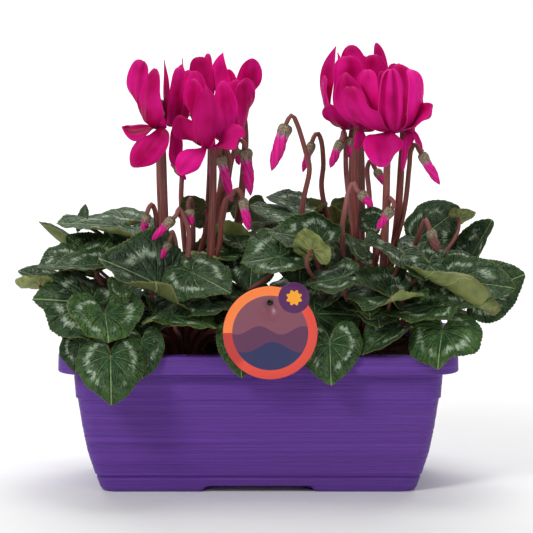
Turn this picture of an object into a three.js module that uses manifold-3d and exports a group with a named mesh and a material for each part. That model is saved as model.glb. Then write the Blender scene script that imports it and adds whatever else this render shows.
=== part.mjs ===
// Two cyclamens in a purple balcony trough, in millimetres, +Z up, the viewer on the -Y side.
import * as THREE from "three";
import { mergeVertices } from "three/addons/utils/BufferGeometryUtils.js";
import Module from "manifold-3d";

const wasm = await Module();
wasm.setup();

// Driving dimensions of the trough
const TROUGH_HEIGHT = 111;
const RIM_HALF_LENGTH = 152.5;
const RIM_HALF_DEPTH = 72.5;
const RIM_SKIRT = 14;
const WALL = 2.6;
const FOOT_HEIGHT = 5;
const ARCH_HALF_LENGTH = 43;
const SOIL_TOP = 101;
const GAP = 0.35;

// Driving dimensions of the plants
const TUBER_RADIUS = 20;
const TUBER_HEIGHT = 10;
const TUBER_CENTRE = 96;
const BLADE_THICKNESS = 1.0;
const PETAL_THICKNESS = 0.9;
const PETIOLE_RADIUS = 1.6;
const STALK_RADIUS = 2.8;
const BUD_STALK_RADIUS = 2;
const TUBE_LENGTH = 8;
const TUBE_RADIUS = 5.5;

// Where the trough's centre lies from the part's origin, which is under the middle of the whole
const TROUGH_X = -7;
const TROUGH_Y = 5;

const degrees = THREE.MathUtils.degToRad;
const at = (x, y, z) => new THREE.Vector3(x, y, z);

// Closed surfaces and solids

function surface(points, triangles) {
  const geometry = new THREE.BufferGeometry();
  const flat = points.flatMap((point) => [point.x, point.y, point.z]);
  geometry.setAttribute("position", new THREE.Float32BufferAttribute(flat, 3));
  geometry.setIndex(triangles.flat());
  return geometry;
}

function solid(geometry) {
  const bare = geometry.clone();
  bare.deleteAttribute("normal");
  bare.deleteAttribute("uv");
  const merged = mergeVertices(bare, 1e-4);
  return new wasm.Manifold(new wasm.Mesh({
    numProp: 3,
    vertProperties: new Float32Array(merged.attributes.position.array),
    triVerts: new Uint32Array(merged.index.array),
  }));
}

function join(solids) {
  return solids.reduce((whole, next) => whole.add(next));
}

// The largest body of a cut solid; a loose scrap is dropped
function largest(cut) {
  return cut.decompose().reduce((a, b) => (a.volume() > b.volume() ? a : b));
}

function mesh(name, shape, look) {
  const { vertProperties, triVerts, numProp } = shape.getMesh();
  const geometry = new THREE.BufferGeometry();
  const positions = [];
  for (let i = 0; i < vertProperties.length; i += numProp) {
    positions.push(vertProperties[i], vertProperties[i + 1], vertProperties[i + 2]);
  }
  geometry.setAttribute("position", new THREE.Float32BufferAttribute(positions, 3));
  geometry.setIndex([...triVerts]);
  geometry.computeVertexNormals();
  const made = new THREE.Mesh(geometry, new THREE.MeshStandardMaterial(look));
  made.name = name;
  return made;
}

// A stack of equal rings closed by a fan at each end
function loft(rings) {
  const count = rings[0].length;
  const points = rings.flat();
  const triangles = [];
  for (let ring = 0; ring + 1 < rings.length; ring++) {
    for (let i = 0; i < count; i++) {
      const a = ring * count + i;
      const b = ring * count + ((i + 1) % count);
      triangles.push([a, b, b + count], [a, b + count, a + count]);
    }
  }
  const centre = (ring) => ring.reduce((sum, p) => sum.add(p), at(0, 0, 0)).divideScalar(count);
  const first = points.push(centre(rings[0])) - 1;
  const last = points.push(centre(rings[rings.length - 1])) - 1;
  const top = (rings.length - 1) * count;
  for (let i = 0; i < count; i++) {
    const next = (i + 1) % count;
    triangles.push([first, next, i], [last, top + i, top + next]);
  }
  return surface(points, triangles);
}

// The trough, one moulded shell

const CORNER_STEPS = 3;

function roundedRing(halfLength, halfDepth, radius, z) {
  const signs = [[1, 1], [-1, 1], [-1, -1], [1, -1]];
  const ring = [];
  signs.forEach(([sx, sy], corner) => {
    for (let step = 0; step <= CORNER_STEPS; step++) {
      const angle = ((corner + step / CORNER_STEPS) * Math.PI) / 2;
      const x = sx * (halfLength - radius) + radius * Math.cos(angle);
      const y = sy * (halfDepth - radius) + radius * Math.sin(angle);
      ring.push(at(x, y, z));
    }
  });
  return ring;
}

// Half length and half depth of the outer wall at each height, with the groove and the proud upper band
const OUTER_WALL = [
  [120.5, 45.5, 0],
  [122, 47, 3],
  [124.6, 49.4, 11],
  [123.6, 48.4, 11.8],
  [123.9, 48.7, 12.8],
  [125.6, 50.3, 13.4],
  [131, 55.4, 32],
  [134.8, 58.8, 52],
  [138, 61.4, 74.8],
  [139.4, 62.6, 76],
  [140.8, 63.6, 96],
];
const FLOOR_TOP = 8;
const CORNER_RADIUS = 11;

function wallAt(z) {
  const above = OUTER_WALL.findIndex((row) => row[2] >= z);
  if (above < 1) {
    return OUTER_WALL[above < 0 ? OUTER_WALL.length - 1 : 0];
  }
  const [low, high] = [OUTER_WALL[above - 1], OUTER_WALL[above]];
  const t = (z - low[2]) / (high[2] - low[2]);
  return [low[0] + t * (high[0] - low[0]), low[1] + t * (high[1] - low[1]), z];
}

function innerRing(z, clearance) {
  const [halfLength, halfDepth] = wallAt(z);
  const inset = WALL + clearance;
  return roundedRing(halfLength - inset, halfDepth - inset, CORNER_RADIUS - WALL, z);
}

function troughSolid() {
  const outside = OUTER_WALL.map(([length, depth, z]) => roundedRing(length, depth, CORNER_RADIUS, z));
  const skirtBottom = TROUGH_HEIGHT - RIM_SKIRT;
  const plateBottom = TROUGH_HEIGHT - 2.8;
  const innerLength = RIM_HALF_LENGTH - 2.4;
  const innerDepth = RIM_HALF_DEPTH - 2.4;
  const rim = [
    roundedRing(141, 63.8, CORNER_RADIUS, plateBottom),
    roundedRing(innerLength, innerDepth, 15, plateBottom),
    roundedRing(innerLength, innerDepth, 15, skirtBottom),
    roundedRing(RIM_HALF_LENGTH - 0.6, RIM_HALF_DEPTH - 0.6, 17, skirtBottom),
    roundedRing(RIM_HALF_LENGTH, RIM_HALF_DEPTH, 17, skirtBottom + 1),
    roundedRing(RIM_HALF_LENGTH - 0.4, RIM_HALF_DEPTH - 0.4, 17, TROUGH_HEIGHT - 1.4),
    roundedRing(RIM_HALF_LENGTH - 1.8, RIM_HALF_DEPTH - 1.8, 16, TROUGH_HEIGHT),
    roundedRing(139.4, 62.4, CORNER_RADIUS, TROUGH_HEIGHT),
    roundedRing(138.1, 61.1, CORNER_RADIUS - 1, TROUGH_HEIGHT - 1.2),
  ];
  const inside = [96, 52, 20, FLOOR_TOP].map((z) => innerRing(z, 0));
  const shell = solid(loft([...outside, ...rim, ...inside]));
  return shell.subtract(footArch());
}

// The raised middle of the base, with sloped ends, cut through from front to back
function footArch() {
  const outline = new THREE.Shape([
    new THREE.Vector2(-ARCH_HALF_LENGTH, -1),
    new THREE.Vector2(ARCH_HALF_LENGTH, -1),
    new THREE.Vector2(ARCH_HALF_LENGTH, 0),
    new THREE.Vector2(ARCH_HALF_LENGTH - 1.2, FOOT_HEIGHT * 0.75),
    new THREE.Vector2(ARCH_HALF_LENGTH - 3.5, FOOT_HEIGHT),
    new THREE.Vector2(3.5 - ARCH_HALF_LENGTH, FOOT_HEIGHT),
    new THREE.Vector2(1.2 - ARCH_HALF_LENGTH, FOOT_HEIGHT * 0.75),
    new THREE.Vector2(-ARCH_HALF_LENGTH, 0),
  ]);
  const depth = 2 * RIM_HALF_DEPTH;
  const bar = new THREE.ExtrudeGeometry(outline, { depth, bevelEnabled: false });
  bar.rotateX(Math.PI / 2).translate(0, depth / 2, 0);
  return solid(bar);
}

// The tubers and the soil they are half sunk in

const CROWNS = { left: at(-58, 2, TUBER_CENTRE), right: at(80, 2, TUBER_CENTRE) };

function tuber(crown, clearance) {
  const ball = new THREE.SphereGeometry(1, 10, 6);
  const reach = TUBER_RADIUS + clearance;
  ball.rotateX(Math.PI / 2).scale(reach, reach, TUBER_HEIGHT + clearance);
  return solid(ball.translate(crown.x, crown.y, crown.z));
}

// The plain round hole above the widest part of a tuber, through which the stalks come up
function mouthOfSocket(crown) {
  const reach = TUBER_RADIUS + GAP;
  const hole = new THREE.CylinderGeometry(reach, reach, 20, 10).rotateX(Math.PI / 2);
  return solid(hole.translate(crown.x, crown.y, crown.z + 10));
}

function soilSolid() {
  const wallRings = [FLOOR_TOP + GAP, 20, 52, 96].map((z) => innerRing(z, GAP));
  const bumpy = (scale, ring) =>
    roundedRing(135.5 * scale, 59.5 * scale, 8 * scale, SOIL_TOP).map((point, i) => {
      point.z += 1.6 * Math.sin(i * 2.1 + ring * 1.7) + 1.2 * Math.sin(i * 0.9 + ring * 2.9);
      return point;
    });
  const top = [1, 0.85, 0.62, 0.38, 0.12].map(bumpy);
  const bed = solid(loft([...wallRings, ...top]));
  const sockets = Object.values(CROWNS).flatMap((crown) => [tuber(crown, GAP), mouthOfSocket(crown)]);
  return bed.subtract(join([...sockets, stakeSolid(GAP)]));
}

// The round tag card with its badge, and the cranked stake that carries it over the rim

const TAG = at(9, -85, 132);
const TAG_RADIUS = 35.6;
const BADGE = at(18, 0, 27);
const BADGE_RADIUS = 11.7;
const TAG_HOLE = at(0, 0, 23);
const TAG_HOLE_RADIUS = 2.4;
const CARD_THICKNESS = 1.2;
const STAKE_HALF_WIDTH = 2.5;

function disc(radius, centre, thickness, sides) {
  const round = new THREE.CylinderGeometry(radius, radius, thickness, sides);
  return solid(round.translate(centre.x, centre.y, centre.z));
}

function tagCard() {
  const card = disc(TAG_RADIUS, at(0, 0, 0), CARD_THICKNESS, 36);
  const badge = disc(BADGE_RADIUS, at(BADGE.x, 0, BADGE.z), CARD_THICKNESS, 20);
  const hole = disc(TAG_HOLE_RADIUS, at(TAG_HOLE.x, 0, TAG_HOLE.z), 3 * CARD_THICKNESS, 12);
  return card.add(badge).subtract(hole);
}

function stakeSolid(clearance) {
  const front = TAG.y + CARD_THICKNESS / 2 + GAP;
  const back = front + 2;
  const lower = [[-55, 71], [-55, 116], [front, 124], [front, 153]];
  const upper = [[back, 153], [back, 126], [-53, 118], [-53, 71]];
  const outline = new THREE.Shape([
    ...lower.map(([y, z]) => new THREE.Vector2(y - clearance, z - clearance)),
    ...upper.map(([y, z], i) => new THREE.Vector2(y + clearance, i === 3 ? z - clearance : z + clearance)),
  ]);
  const depth = 2 * (STAKE_HALF_WIDTH + clearance);
  const strip = new THREE.ExtrudeGeometry(outline, { depth, bevelEnabled: false });
  strip.rotateX(Math.PI / 2).rotateZ(Math.PI / 2).translate(TAG.x - depth / 2, 0, 0);
  return solid(strip);
}

// Stalks: a round stem of changing thickness through points, with its rings turned by the least twist

function tube(points, radiusAt, sides) {
  const last = points.length - 1;
  const normal = at(1, 0, 0);
  const rings = points.map((centre, i) => {
    const along = points[Math.min(i + 1, last)].clone().sub(points[Math.max(i - 1, 0)]).normalize();
    normal.addScaledVector(along, -normal.dot(along)).normalize();
    const binormal = along.clone().cross(normal);
    return Array.from({ length: sides }, (_, side) => {
      const angle = (2 * Math.PI * side) / sides;
      const out = normal.clone().multiplyScalar(Math.cos(angle)).addScaledVector(binormal, Math.sin(angle));
      return out.multiplyScalar(radiusAt(i / last)).add(centre);
    });
  });
  return solid(loft(rings));
}

// Points on a smooth curve through a stalk's route: its own points, and one between each of the first few
function stalkPoints(route) {
  const curve = new THREE.CatmullRomCurve3(route, false, "centripetal");
  const stations = route.flatMap((_, i) => (i < 2 ? [i, i + 0.5] : [i]));
  return stations.map((station) => curve.getPoint(station / (route.length - 1)));
}

// Leaf blades

const LEAF_RING = 16;
const LEAF_OUTLINE = [
  [0, 1.4], [12, 1.24], [28, 1.1], [55, 1.03], [90, 1], [118, 0.97],
  [142, 0.88], [158, 0.66], [168, 0.34], [175, 0.12], [180, 0.08],
];

// Distance from the stalk's end to the edge, as a share of the half width, at an angle from the tip
function leafReach(angle, long) {
  const turn = Math.abs(angle);
  const above = Math.max(1, LEAF_OUTLINE.findIndex((row) => row[0] >= turn));
  const [low, high] = [LEAF_OUTLINE[above - 1], LEAF_OUTLINE[above]];
  const t = (turn - low[0]) / (high[0] - low[0]);
  const reach = low[1] + t * (high[1] - low[1]);
  const forward = Math.max(0, Math.cos(degrees(turn)));
  return reach * (1 + (long / 1.4 - 1) * forward * forward);
}

// A blade's height over its own plane: cup, droop at the tip, lift of the lobes, curl of one side, waves
function leafHeight(forward, side, reach, leaf) {
  const ahead = Math.max(0, forward);
  const behind = Math.max(0, -forward);
  const curled = Math.max(0, side * Math.sign(leaf.curl) - 0.25);
  const wave = 0.05 * reach ** 3 * Math.sin(5 * Math.atan2(side, forward) + leaf.heading);
  return leaf.cup * side * side - leaf.droop * ahead * ahead + leaf.lobe * behind * behind
    + Math.abs(leaf.curl) * curled * curled + wave;
}

function leafPoint(reach, angle, leaf) {
  const edge = reach * leafReach(angle, leaf.long);
  const forward = edge * Math.cos(degrees(angle));
  const side = edge * Math.sin(degrees(angle));
  return at(forward, side, leafHeight(forward, side, reach, leaf)).multiplyScalar(leaf.half);
}

// Rings of points: the stalk's end, an inner ring and a toothed outer ring with twice the points
function leafNet(leaf) {
  const inner = LEAF_RING / 2;
  const step = 360 / LEAF_RING;
  const points = [at(0, 0, 0)];
  for (let i = 0; i < inner; i++) {
    points.push(leafPoint(0.55, (2 * i + 1) * step - 180, leaf));
  }
  for (let i = 0; i < LEAF_RING; i++) {
    points.push(leafPoint(i % 2 ? 1.02 : 0.97, i * step - 180, leaf));
  }
  const innerAt = (i) => 1 + (i % inner);
  const outerAt = (i) => 1 + inner + (i % LEAF_RING);
  const triangles = [];
  for (let i = 0; i < inner; i++) {
    const [here, next] = [innerAt(i), innerAt(i + 1)];
    const [near, middle, far] = [outerAt(2 * i + 1), outerAt(2 * i + 2), outerAt(2 * i + 3)];
    triangles.push([here, near, middle], [next, middle, far]);
    if (i + 1 < inner) {
      triangles.push([0, here, next], [here, middle, next]);
    } else {
      triangles.push([here, middle, 0], [0, middle, next]);
    }
  }
  const edge = Array.from({ length: LEAF_RING }, (_, i) => outerAt(i));
  return { points, triangles, edge };
}

// A thin sheet of even thickness from a net: the same triangles on both faces and a band round the edge
function sheet({ points, triangles, edge }, normals, thickness) {
  const count = points.length;
  const face = (sign) => points.map((p, i) => p.clone().addScaledVector(normals[i], (sign * thickness) / 2));
  const under = triangles.map(([a, b, c]) => [a + count, c + count, b + count]);
  const band = edge.flatMap((a, i) => {
    const b = edge[(i + 1) % edge.length];
    return [[a, a + count, b + count], [a, b + count, b]];
  });
  return surface([...face(1), ...face(-1)], [...triangles, ...under, ...band]);
}

// Tip, side and face directions of a leaf: heading 0 points at the viewer, pitch droops the tip
function leafAxes(leaf) {
  const h = degrees(leaf.heading);
  const p = degrees(leaf.pitch);
  const tip = at(Math.sin(h) * Math.cos(p), -Math.cos(h) * Math.cos(p), -Math.sin(p));
  const up = at(Math.sin(h) * Math.sin(p), -Math.cos(h) * Math.sin(p), Math.cos(p));
  const side = up.clone().cross(tip).applyAxisAngle(tip, degrees(leaf.roll));
  return { tip, side, face: tip.clone().cross(side) };
}

function blade(leaf, place, thickness) {
  const net = leafNet(leaf);
  const { tip, side, face } = leafAxes(leaf);
  const upright = net.points.map(() => at(0, 0, 1));
  const local = sheet(net, upright, thickness);
  const pose = new THREE.Matrix4().makeBasis(tip, side, face).setPosition(place);
  return solid(local.applyMatrix4(pose));
}

// Node, plant, where the stalk meets the blade, then heading, pitch, roll, half width, length of the tip,
// cup, droop, lobe lift and curl. Low and outer leaves come first, because each later one gives way to them.
const LEAF_ROWS = [
  ["leaf-hanging-inner-left", "left", [-88, -76, 123], 6, 79, 0, 17, 1.67, -0.01, 0, -0.2, 0],
  ["leaf-hanging-outer-left", "left", [-111, -93, 115], 3, 62, 3, 26, 1.47, -0.29, 0.02, -0.6, 0],
  ["leaf-behind-tag", "left", [-13, -77, 127], 3, 80, 0, 19, 1.59, -0.11, 0, 0, 0],
  ["leaf-hanging-centre-right", "right", [54, -76, 122], 8, 79, 4, 25, 1.27, -0.09, 0, -0.3, 0],
  ["leaf-dark-low-right", "right", [103, -62, 130], -57, 20, -14, 17, 1.95, 0.29, 0.1, -0.07, 0],
  ["leaf-hanging-outer-right", "right", [139, -76, 131], -13, 46, 6, 29, 1.1, -0.36, 0.1, -0.18, 0],
  ["leaf-flat-low-right", "right", [134, -61, 144], -100, 6, -12, 28, 1.55, -0.02, 0.05, 0.12, 0],
  ["leaf-large-left", "left", [-131, -46, 147], -81, -9, -35, 38, 1.1, -0.13, 0.05, 0, 0],
  ["leaf-front-left", "left", [-116, -66, 142], 8, 28, 1, 29, 1.16, 0.27, 0.05, 0.4, 0],
  ["leaf-flat-front-left", "left", [-64, -70, 142], 67, 3, 10, 28, 1.27, 0.08, 0.05, -0.14, 0],
  ["leaf-pale-tip-far-left", "left", [-167, -34, 159], -84, 2, 30, 15, 1.55, 0.1, 0, 0, 0],
  ["leaf-folded-far-left", "left", [-154, -8, 156], -90, -17, -31, 15, 2.14, -0.09, 0, 0, 0],
  ["leaf-flat-left", "left", [-147, -22, 174], -76, 1, -19, 21, 1.19, 0.18, 0, 0, 0],
  ["leaf-round-left", "left", [-131, 8, 175], -90, -40, -40, 22, 1.1, 0.11, 0, 0.1, 0],
  ["leaf-pointed-far-left", "left", [-132, 26, 171], -107, -19, -5, 20, 2.4, 0, -0.1, 0, 0],
  ["leaf-dark-left", "left", [-77, -58, 164], -74, -29, -33, 38, 1.34, 0.49, 0.02, 0, 0],
  ["leaf-below-tag-left", "left", [-38, -60, 149], -30, 8, -6, 20, 1.4, 0, 0, 0.1, 0],
  ["leaf-beside-dark-left", "left", [-50, -54, 172], 61, 20, 27, 26, 1.43, -0.11, 0, 0, 0],
  ["leaf-two-lobed-centre", "left", [15, -52, 184], -68, 6, -26, 28, 1.13, 0.17, 0.05, 0.11, 0],
  ["leaf-curled-centre", "left", [-47, -16, 175], 72, -18, 20, 21, 1.61, -0.03, 0.1, 0, 0],
  ["leaf-pale-under-centre", "left", [-26, 14, 169], 1, -51, 0, 33, 1.4, -0.09, 0, 0, 0],
  ["leaf-long-upper-left", "left", [-106, 12, 197], -85, -4, -5, 34, 1.49, -0.01, 0, 0, 0],
  ["leaf-back-upper-left", "left", [-102, 44, 194], -160, -15, -3, 24, 1.6, 0.05, 0.1, 0, 0],
  ["leaf-small-low-centre", "right", [62, -64, 170], -89, 12, -16, 24, 1.32, 0.04, 0, 0, 0],
  ["leaf-silver-centre-right", "right", [44, -56, 142], 114, 3, 48, 29, 1.46, -0.17, 0.05, -0.12, 0],
  ["leaf-folded-centre-right", "right", [100, -60, 155], -68, 0, -4, 34, 1.1, 0.12, 0.05, 0.23, 0],
  ["leaf-behind-large-right", "right", [172, -24, 153], 82, -23, 66, 25, 1.42, -0.2, 0, 0, 0],
  ["leaf-large-right", "right", [152, -46, 162], 73, 2, 50, 22, 2.04, 0.04, 0.05, 0, 0],
  ["leaf-long-centre-right", "right", [73, -20, 170], -88, -54, -31, 22, 1.92, -0.03, 0.05, 0, 0],
  ["leaf-left-of-centre", "right", [43, -40, 191], -99, -15, -24, 24, 1.57, 0.17, 0.1, 0, 0],
  ["leaf-lobe-over-centre", "right", [31, 0, 207], -105, -15, -13, 23, 1.74, -0.05, 0.1, 0, 0],
  ["leaf-pale-under-right", "right", [59, 36, 187], -6, -55, 0, 14, 2.27, -0.19, 0, 0, 0],
  ["leaf-two-lobed-right", "right", [110, -38, 185], 33, 15, -8, 32, 1.11, 0.02, 0.1, 0.35, 0],
  ["leaf-upper-right", "right", [125, 4, 190], 134, -22, 72, 20, 2.4, 0.01, 0, 0, 0],
  ["leaf-pointed-far-right", "right", [162, 12, 169], 88, -62, 28, 21, 1.87, 0.23, 0, 0, 0],
  ["leaf-back-centre", "left", [-8, 42, 208], 165, 46, 8, 22, 1.4, 0, 0.1, 0, 0],
  ["leaf-back-right", "right", [57, 48, 202], 150, 50, -8, 25, 1.4, 0, 0.1, 0, 0],
];

const LEAVES = LEAF_ROWS.map(
  ([name, plant, [x, y, z], heading, pitch, roll, half, long, cup, droop, lobe, curl]) =>
    ({ name, plant, place: at(x, y, z), heading, pitch, roll, half, long, cup, droop, lobe, curl }),
);

// The far side, which hangs down towards the trough's back, is filled by a seeded rule
function seeded(seed) {
  let state = seed;
  return () => {
    state = (state * 16807) % 2147483647;
    return state / 2147483647;
  };
}

const BACK_LEAVES = [];

function placeBackLeaves() {
  const random = seeded(20);
  const spread = (low, high) => low + (high - low) * random();
  Object.entries(CROWNS).forEach(([plant, crown]) => {
    [140, 180, 220].forEach((turn, i) => {
      const heading = turn + spread(-8, 8);
      const reach = spread(62, 74);
      const angle = degrees(heading);
      const place = at(crown.x + reach * Math.sin(angle) * 1.1, -reach * Math.cos(angle), spread(133, 165));
      BACK_LEAVES.push({
        name: `leaf-rear-${plant}-${i + 1}`, plant, place, heading,
        pitch: spread(20, 45), roll: spread(-10, 10), half: spread(25, 29),
        long: 1.4, cup: 0, droop: 0.1, lobe: 0.1, curl: 0,
      });
    });
  });
}
placeBackLeaves();

// Each leaf is moved along its own face until it clears the trough, the tag and the leaves before it
const RAISE_STEP = 1.2;
const RAISE_TRIES = 24;

function overlaps(a, b) {
  const [boxA, boxB] = [a.boundingBox(), b.boundingBox()];
  const apart = [0, 1, 2].some((i) => boxA.min[i] > boxB.max[i] || boxB.min[i] > boxA.max[i]);
  return !apart && a.intersect(b).volume() > 0;
}

function settle(leaves, fixed) {
  const placed = [...fixed];
  leaves.forEach((leaf) => {
    const { face } = leafAxes(leaf);
    const up = (i) => Math.ceil(i / 2) * (i % 2 ? RAISE_STEP : -RAISE_STEP);
    const offsets = Array.from({ length: RAISE_TRIES }, (_, i) => up(i));
    const isClear = (offset) => {
      const place = leaf.place.clone().addScaledVector(face, offset);
      const thick = blade(leaf, place, BLADE_THICKNESS + 2 * GAP);
      return !placed.some((shape) => overlaps(thick, shape));
    };
    leaf.place.addScaledVector(face, offsets.find(isClear) ?? 0);
    placed.push(blade(leaf, leaf.place, BLADE_THICKNESS));
  });
}

function petiole(leaf, clearance) {
  const crown = CROWNS[leaf.plant];
  const { face } = leafAxes(leaf);
  const end = leaf.place.clone().addScaledVector(face, -(BLADE_THICKNESS / 2 + 2 * GAP));
  const out = at(end.x - crown.x, end.y - crown.y, 0).normalize();
  const low = THREE.MathUtils.clamp((180 - end.z) / 60, 0, 1);
  const foot = crown.clone().addScaledVector(out, 9 + 6 * low).add(at(0, 0, TUBER_HEIGHT - 5 - 3 * low));
  const span = foot.distanceTo(end);
  const rise = foot.clone().addScaledVector(out, 0.1 * span).add(at(0, 0, 0.42 * span));
  const arrive = end.clone().addScaledVector(face, -0.3 * span);
  arrive.z = Math.max(arrive.z, TROUGH_HEIGHT + 9);
  const curve = new THREE.CubicBezierCurve3(foot, rise, arrive, end);
  return tube(curve.getPoints(3), () => PETIOLE_RADIUS + clearance, 3);
}

// Blooms: mouth of the corolla tube, then the petals. Each petal has the azimuths of its root and of its
// face, a twist, its tip, how far it bows out and how far it is raised on the way, width, cup and pointedness

const BLOOM_ROWS = [
  ["bloom-left-1", "left", [-75, -38, 282], [
    [-123, -2, -10, [-88, -48, 334], 18, 7, 17, 0.16, 0.37],
    [-29, -26, -11, [-78, -54, 329], 18, -9, 23, 0.28, 0.51],
    [100, 110, 10, [-71, -38, 333], 3, 0, 9, 0.12, 1.2],
    [-65, -80, -12, [-103, -50, 283], 3, -9, 25, 0.1, 0.77],
    [12, 14, 28, [-95, -58, 254], 18, 5, 24, -0.12, 0.57],
  ]],
  ["bloom-left-2", "left", [-65, -10, 280], [
    [5, 34, 11, [-61, -26, 326], 8, 2, 17, 0.16, 0.35],
    [150, 110, 0, [-58, -4, 330], 8, 0, 11, 0.1, 1],
    [92, 16, 4, [-48, -8, 321], 8, 0, 20, 0.16, 0.39],
    [14, 19, -1, [-63, -20, 249], 5, -4, 11, 0.1, 0.63],
    [62, 24, 24, [-55, -30, 302], 9, 2, 21, 0.14, 0.6],
  ]],
  ["bloom-left-3", "left", [-38, -46, 268], [
    [-112, -2, -29, [-46, -50, 319], 10, 9, 21, 0.3, 0.69],
    [-6, -45, 35, [-39, -58, 316], 12, 6, 21, 0.3, 1.28],
    [80, 84, 62, [-12, -52, 275], 8, 9, 22, 0.12, 1.25],
    [-30, 0, 0, [-61, -60, 249], 6, 2, 18, -0.1, 0.7],
    [-120, -40, 22, [-61, -46, 292], 7, -3, 21, 0.1, 0.7],
  ]],
  ["bloom-left-4", "left", [-24, -14, 267], [
    [78, 9, 49, [-13, -22, 315], 12, 9, 24, 0.16, 0.35],
    [8, 3, 11, [-27, -36, 317], 9, 0, 18, 0.16, 0.62],
    [-75, 41, -11, [-36, -14, 238], 4, -5, 10, 0.1, 0.69],
    [150, 150, 10, [-17, 10, 305], 9, 0, 19, 0.16, 0.5],
    [-120, -120, -10, [-40, 2, 302], 9, 0, 18, 0.16, 0.5],
  ]],
  ["bloom-left-5", "left", [-16, 28, 280], [
    [100, -7, 26, [-5, 20, 327], 2, 9, 21, 0.16, 0.62],
    [-75, -12, -12, [-27, 16, 332], 12, 9, 18, 0.18, 1.37],
    [15, 12, 0, [-18, 8, 312], 9, 0, 18, 0.16, 0.5],
    [198, 141, 5, [-23, 42, 316], 11, -1, 17, 0.16, 0.47],
    [-115, -115, 10, [-34, 36, 321], 9, 0, 18, 0.16, 0.6],
  ]],
  ["bloom-left-6", "left", [-48, 38, 280], [
    [18, -11, 7, [-46, 24, 328], 10, 3, 20, 0.2, 0.35],
    [26, 43, -5, [-38, 36, 329], 5, 0, 12, 0.16, 0.4],
    [-75, -40, 10, [-59, 32, 321], 9, 0, 17, 0.1, 0.9],
    [-45, -20, 0, [-54, 22, 318], 9, 0, 16, 0.16, 0.5],
    [170, 170, -10, [-46, 56, 318], 9, 0, 18, 0.16, 0.5],
  ]],
  ["bloom-right-1", "right", [68, 2, 276], [
    [-91, -33, -12, [59, 2, 339], 18, 0, 15, 0.16, 1.12],
    [11, 9, 11, [67, -14, 333], 6, 9, 25, 0.2, 0.35],
    [-115, -37, -20, [52, -16, 316], 14, 6, 12, 0.16, 0.35],
    [-10, -35, 3, [52, -26, 297], 15, 1, 20, 0.16, 0.35],
    [150, 150, -10, [61, 18, 332], 9, 0, 9, 0.16, 1.1],
  ]],
  ["bloom-right-2", "right", [83, -24, 278], [
    [-21, -24, 9, [68, -40, 324], 18, -4, 25, 0.2, 0.79],
    [-8, -15, -14, [82, -32, 325], 9, 0, 22, 0.18, 0.35],
    [60, 30, 8, [94, -18, 322], 9, 0, 18, 0.16, 0.5],
    [-50, 49, -6, [76, -22, 262], 2, -4, 11, 0.1, 0.88],
    [165, 165, -10, [81, -6, 317], 9, 0, 18, 0.16, 0.5],
  ]],
  ["bloom-right-3", "right", [102, -46, 280], [
    [-53, -70, 33, [71, -60, 316], 18, -9, 26, 0.26, 0.35],
    [-1, 23, 4, [99, -60, 329], 7, -3, 24, 0.2, 0.35],
    [71, 39, 18, [114, -36, 326], 18, 9, 24, 0.18, 0.35],
    [96, 57, 38, [132, -46, 299], 7, 6, 29, 0.14, 0.95],
    [-37, 1, -22, [94, -60, 254], 4, 9, 30, -0.14, 0.4],
  ]],
  ["bloom-right-4", "right", [83, 34, 280], [
    [-16, -12, 8, [72, 26, 337], 8, 2, 23, 0.18, 0.48],
    [28, -1, -11, [86, 20, 330], 7, 0, 27, 0.18, 0.35],
    [74, 28, -1, [91, 32, 338], 12, 1, 13, 0.14, 0.62],
    [165, 165, 10, [81, 52, 326], 9, 0, 18, 0.16, 0.5],
    [-115, -115, -10, [67, 42, 323], 9, 0, 17, 0.16, 0.5],
  ]],
  ["bloom-right-5", "right", [115, 6, 273], [
    [-6, 19, -3, [110, 2, 325], 16, 9, 27, 0.16, 0.35],
    [18, 49, -14, [111, -6, 243], 5, 1, 13, -0.1, 0.35],
    [50, 54, -5, [127, 4, 258], 2, -7, 9, 0.1, 0.9],
    [150, 150, 10, [117, 22, 312], 9, 0, 18, 0.16, 0.5],
    [-105, -100, -10, [106, 14, 313], 9, 0, 18, 0.16, 0.5],
  ]],
];

const BLOOMS = BLOOM_ROWS.map(([name, plant, mouth, petals]) => ({
  name,
  plant,
  mouth: at(...mouth),
  petals: petals.map(([azimuth, face, twist, tip, bow, raise, width, cup, taper]) =>
    ({ azimuth, face, twist, tip: at(...tip), bow, raise, width, cup, taper })),
}));

const outward = (azimuth) => at(Math.sin(degrees(azimuth)), -Math.cos(degrees(azimuth)), 0);

function petalCurve(petal, mouth) {
  const out = outward(petal.azimuth);
  const root = mouth.clone().addScaledVector(out, TUBE_RADIUS - 1.5);
  const first = root.clone().addScaledVector(out, petal.bow);
  const second = petal.tip.clone().lerp(first, 0.38).addScaledVector(out, 0.35 * petal.bow);
  second.z += petal.raise;
  return new THREE.CubicBezierCurve3(root, first, second, petal.tip);
}

// Half width of a petal: narrow root, widest past the middle, then round or pointed by its taper
function petalHalfWidth(petal, t) {
  const widest = 0.6;
  const rise = Math.min(1, t / widest);
  const fall = Math.max(0, (t - widest) / (1 - widest));
  const root = 0.2 + 0.8 * Math.sin((rise * Math.PI) / 2) ** 1.25;
  return (petal.width / 2) * root * Math.max(0.24, 1 - fall ** 2.2) ** petal.taper;
}

const PETAL_ROWS = [0, 0.38, 0.76, 1];

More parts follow.
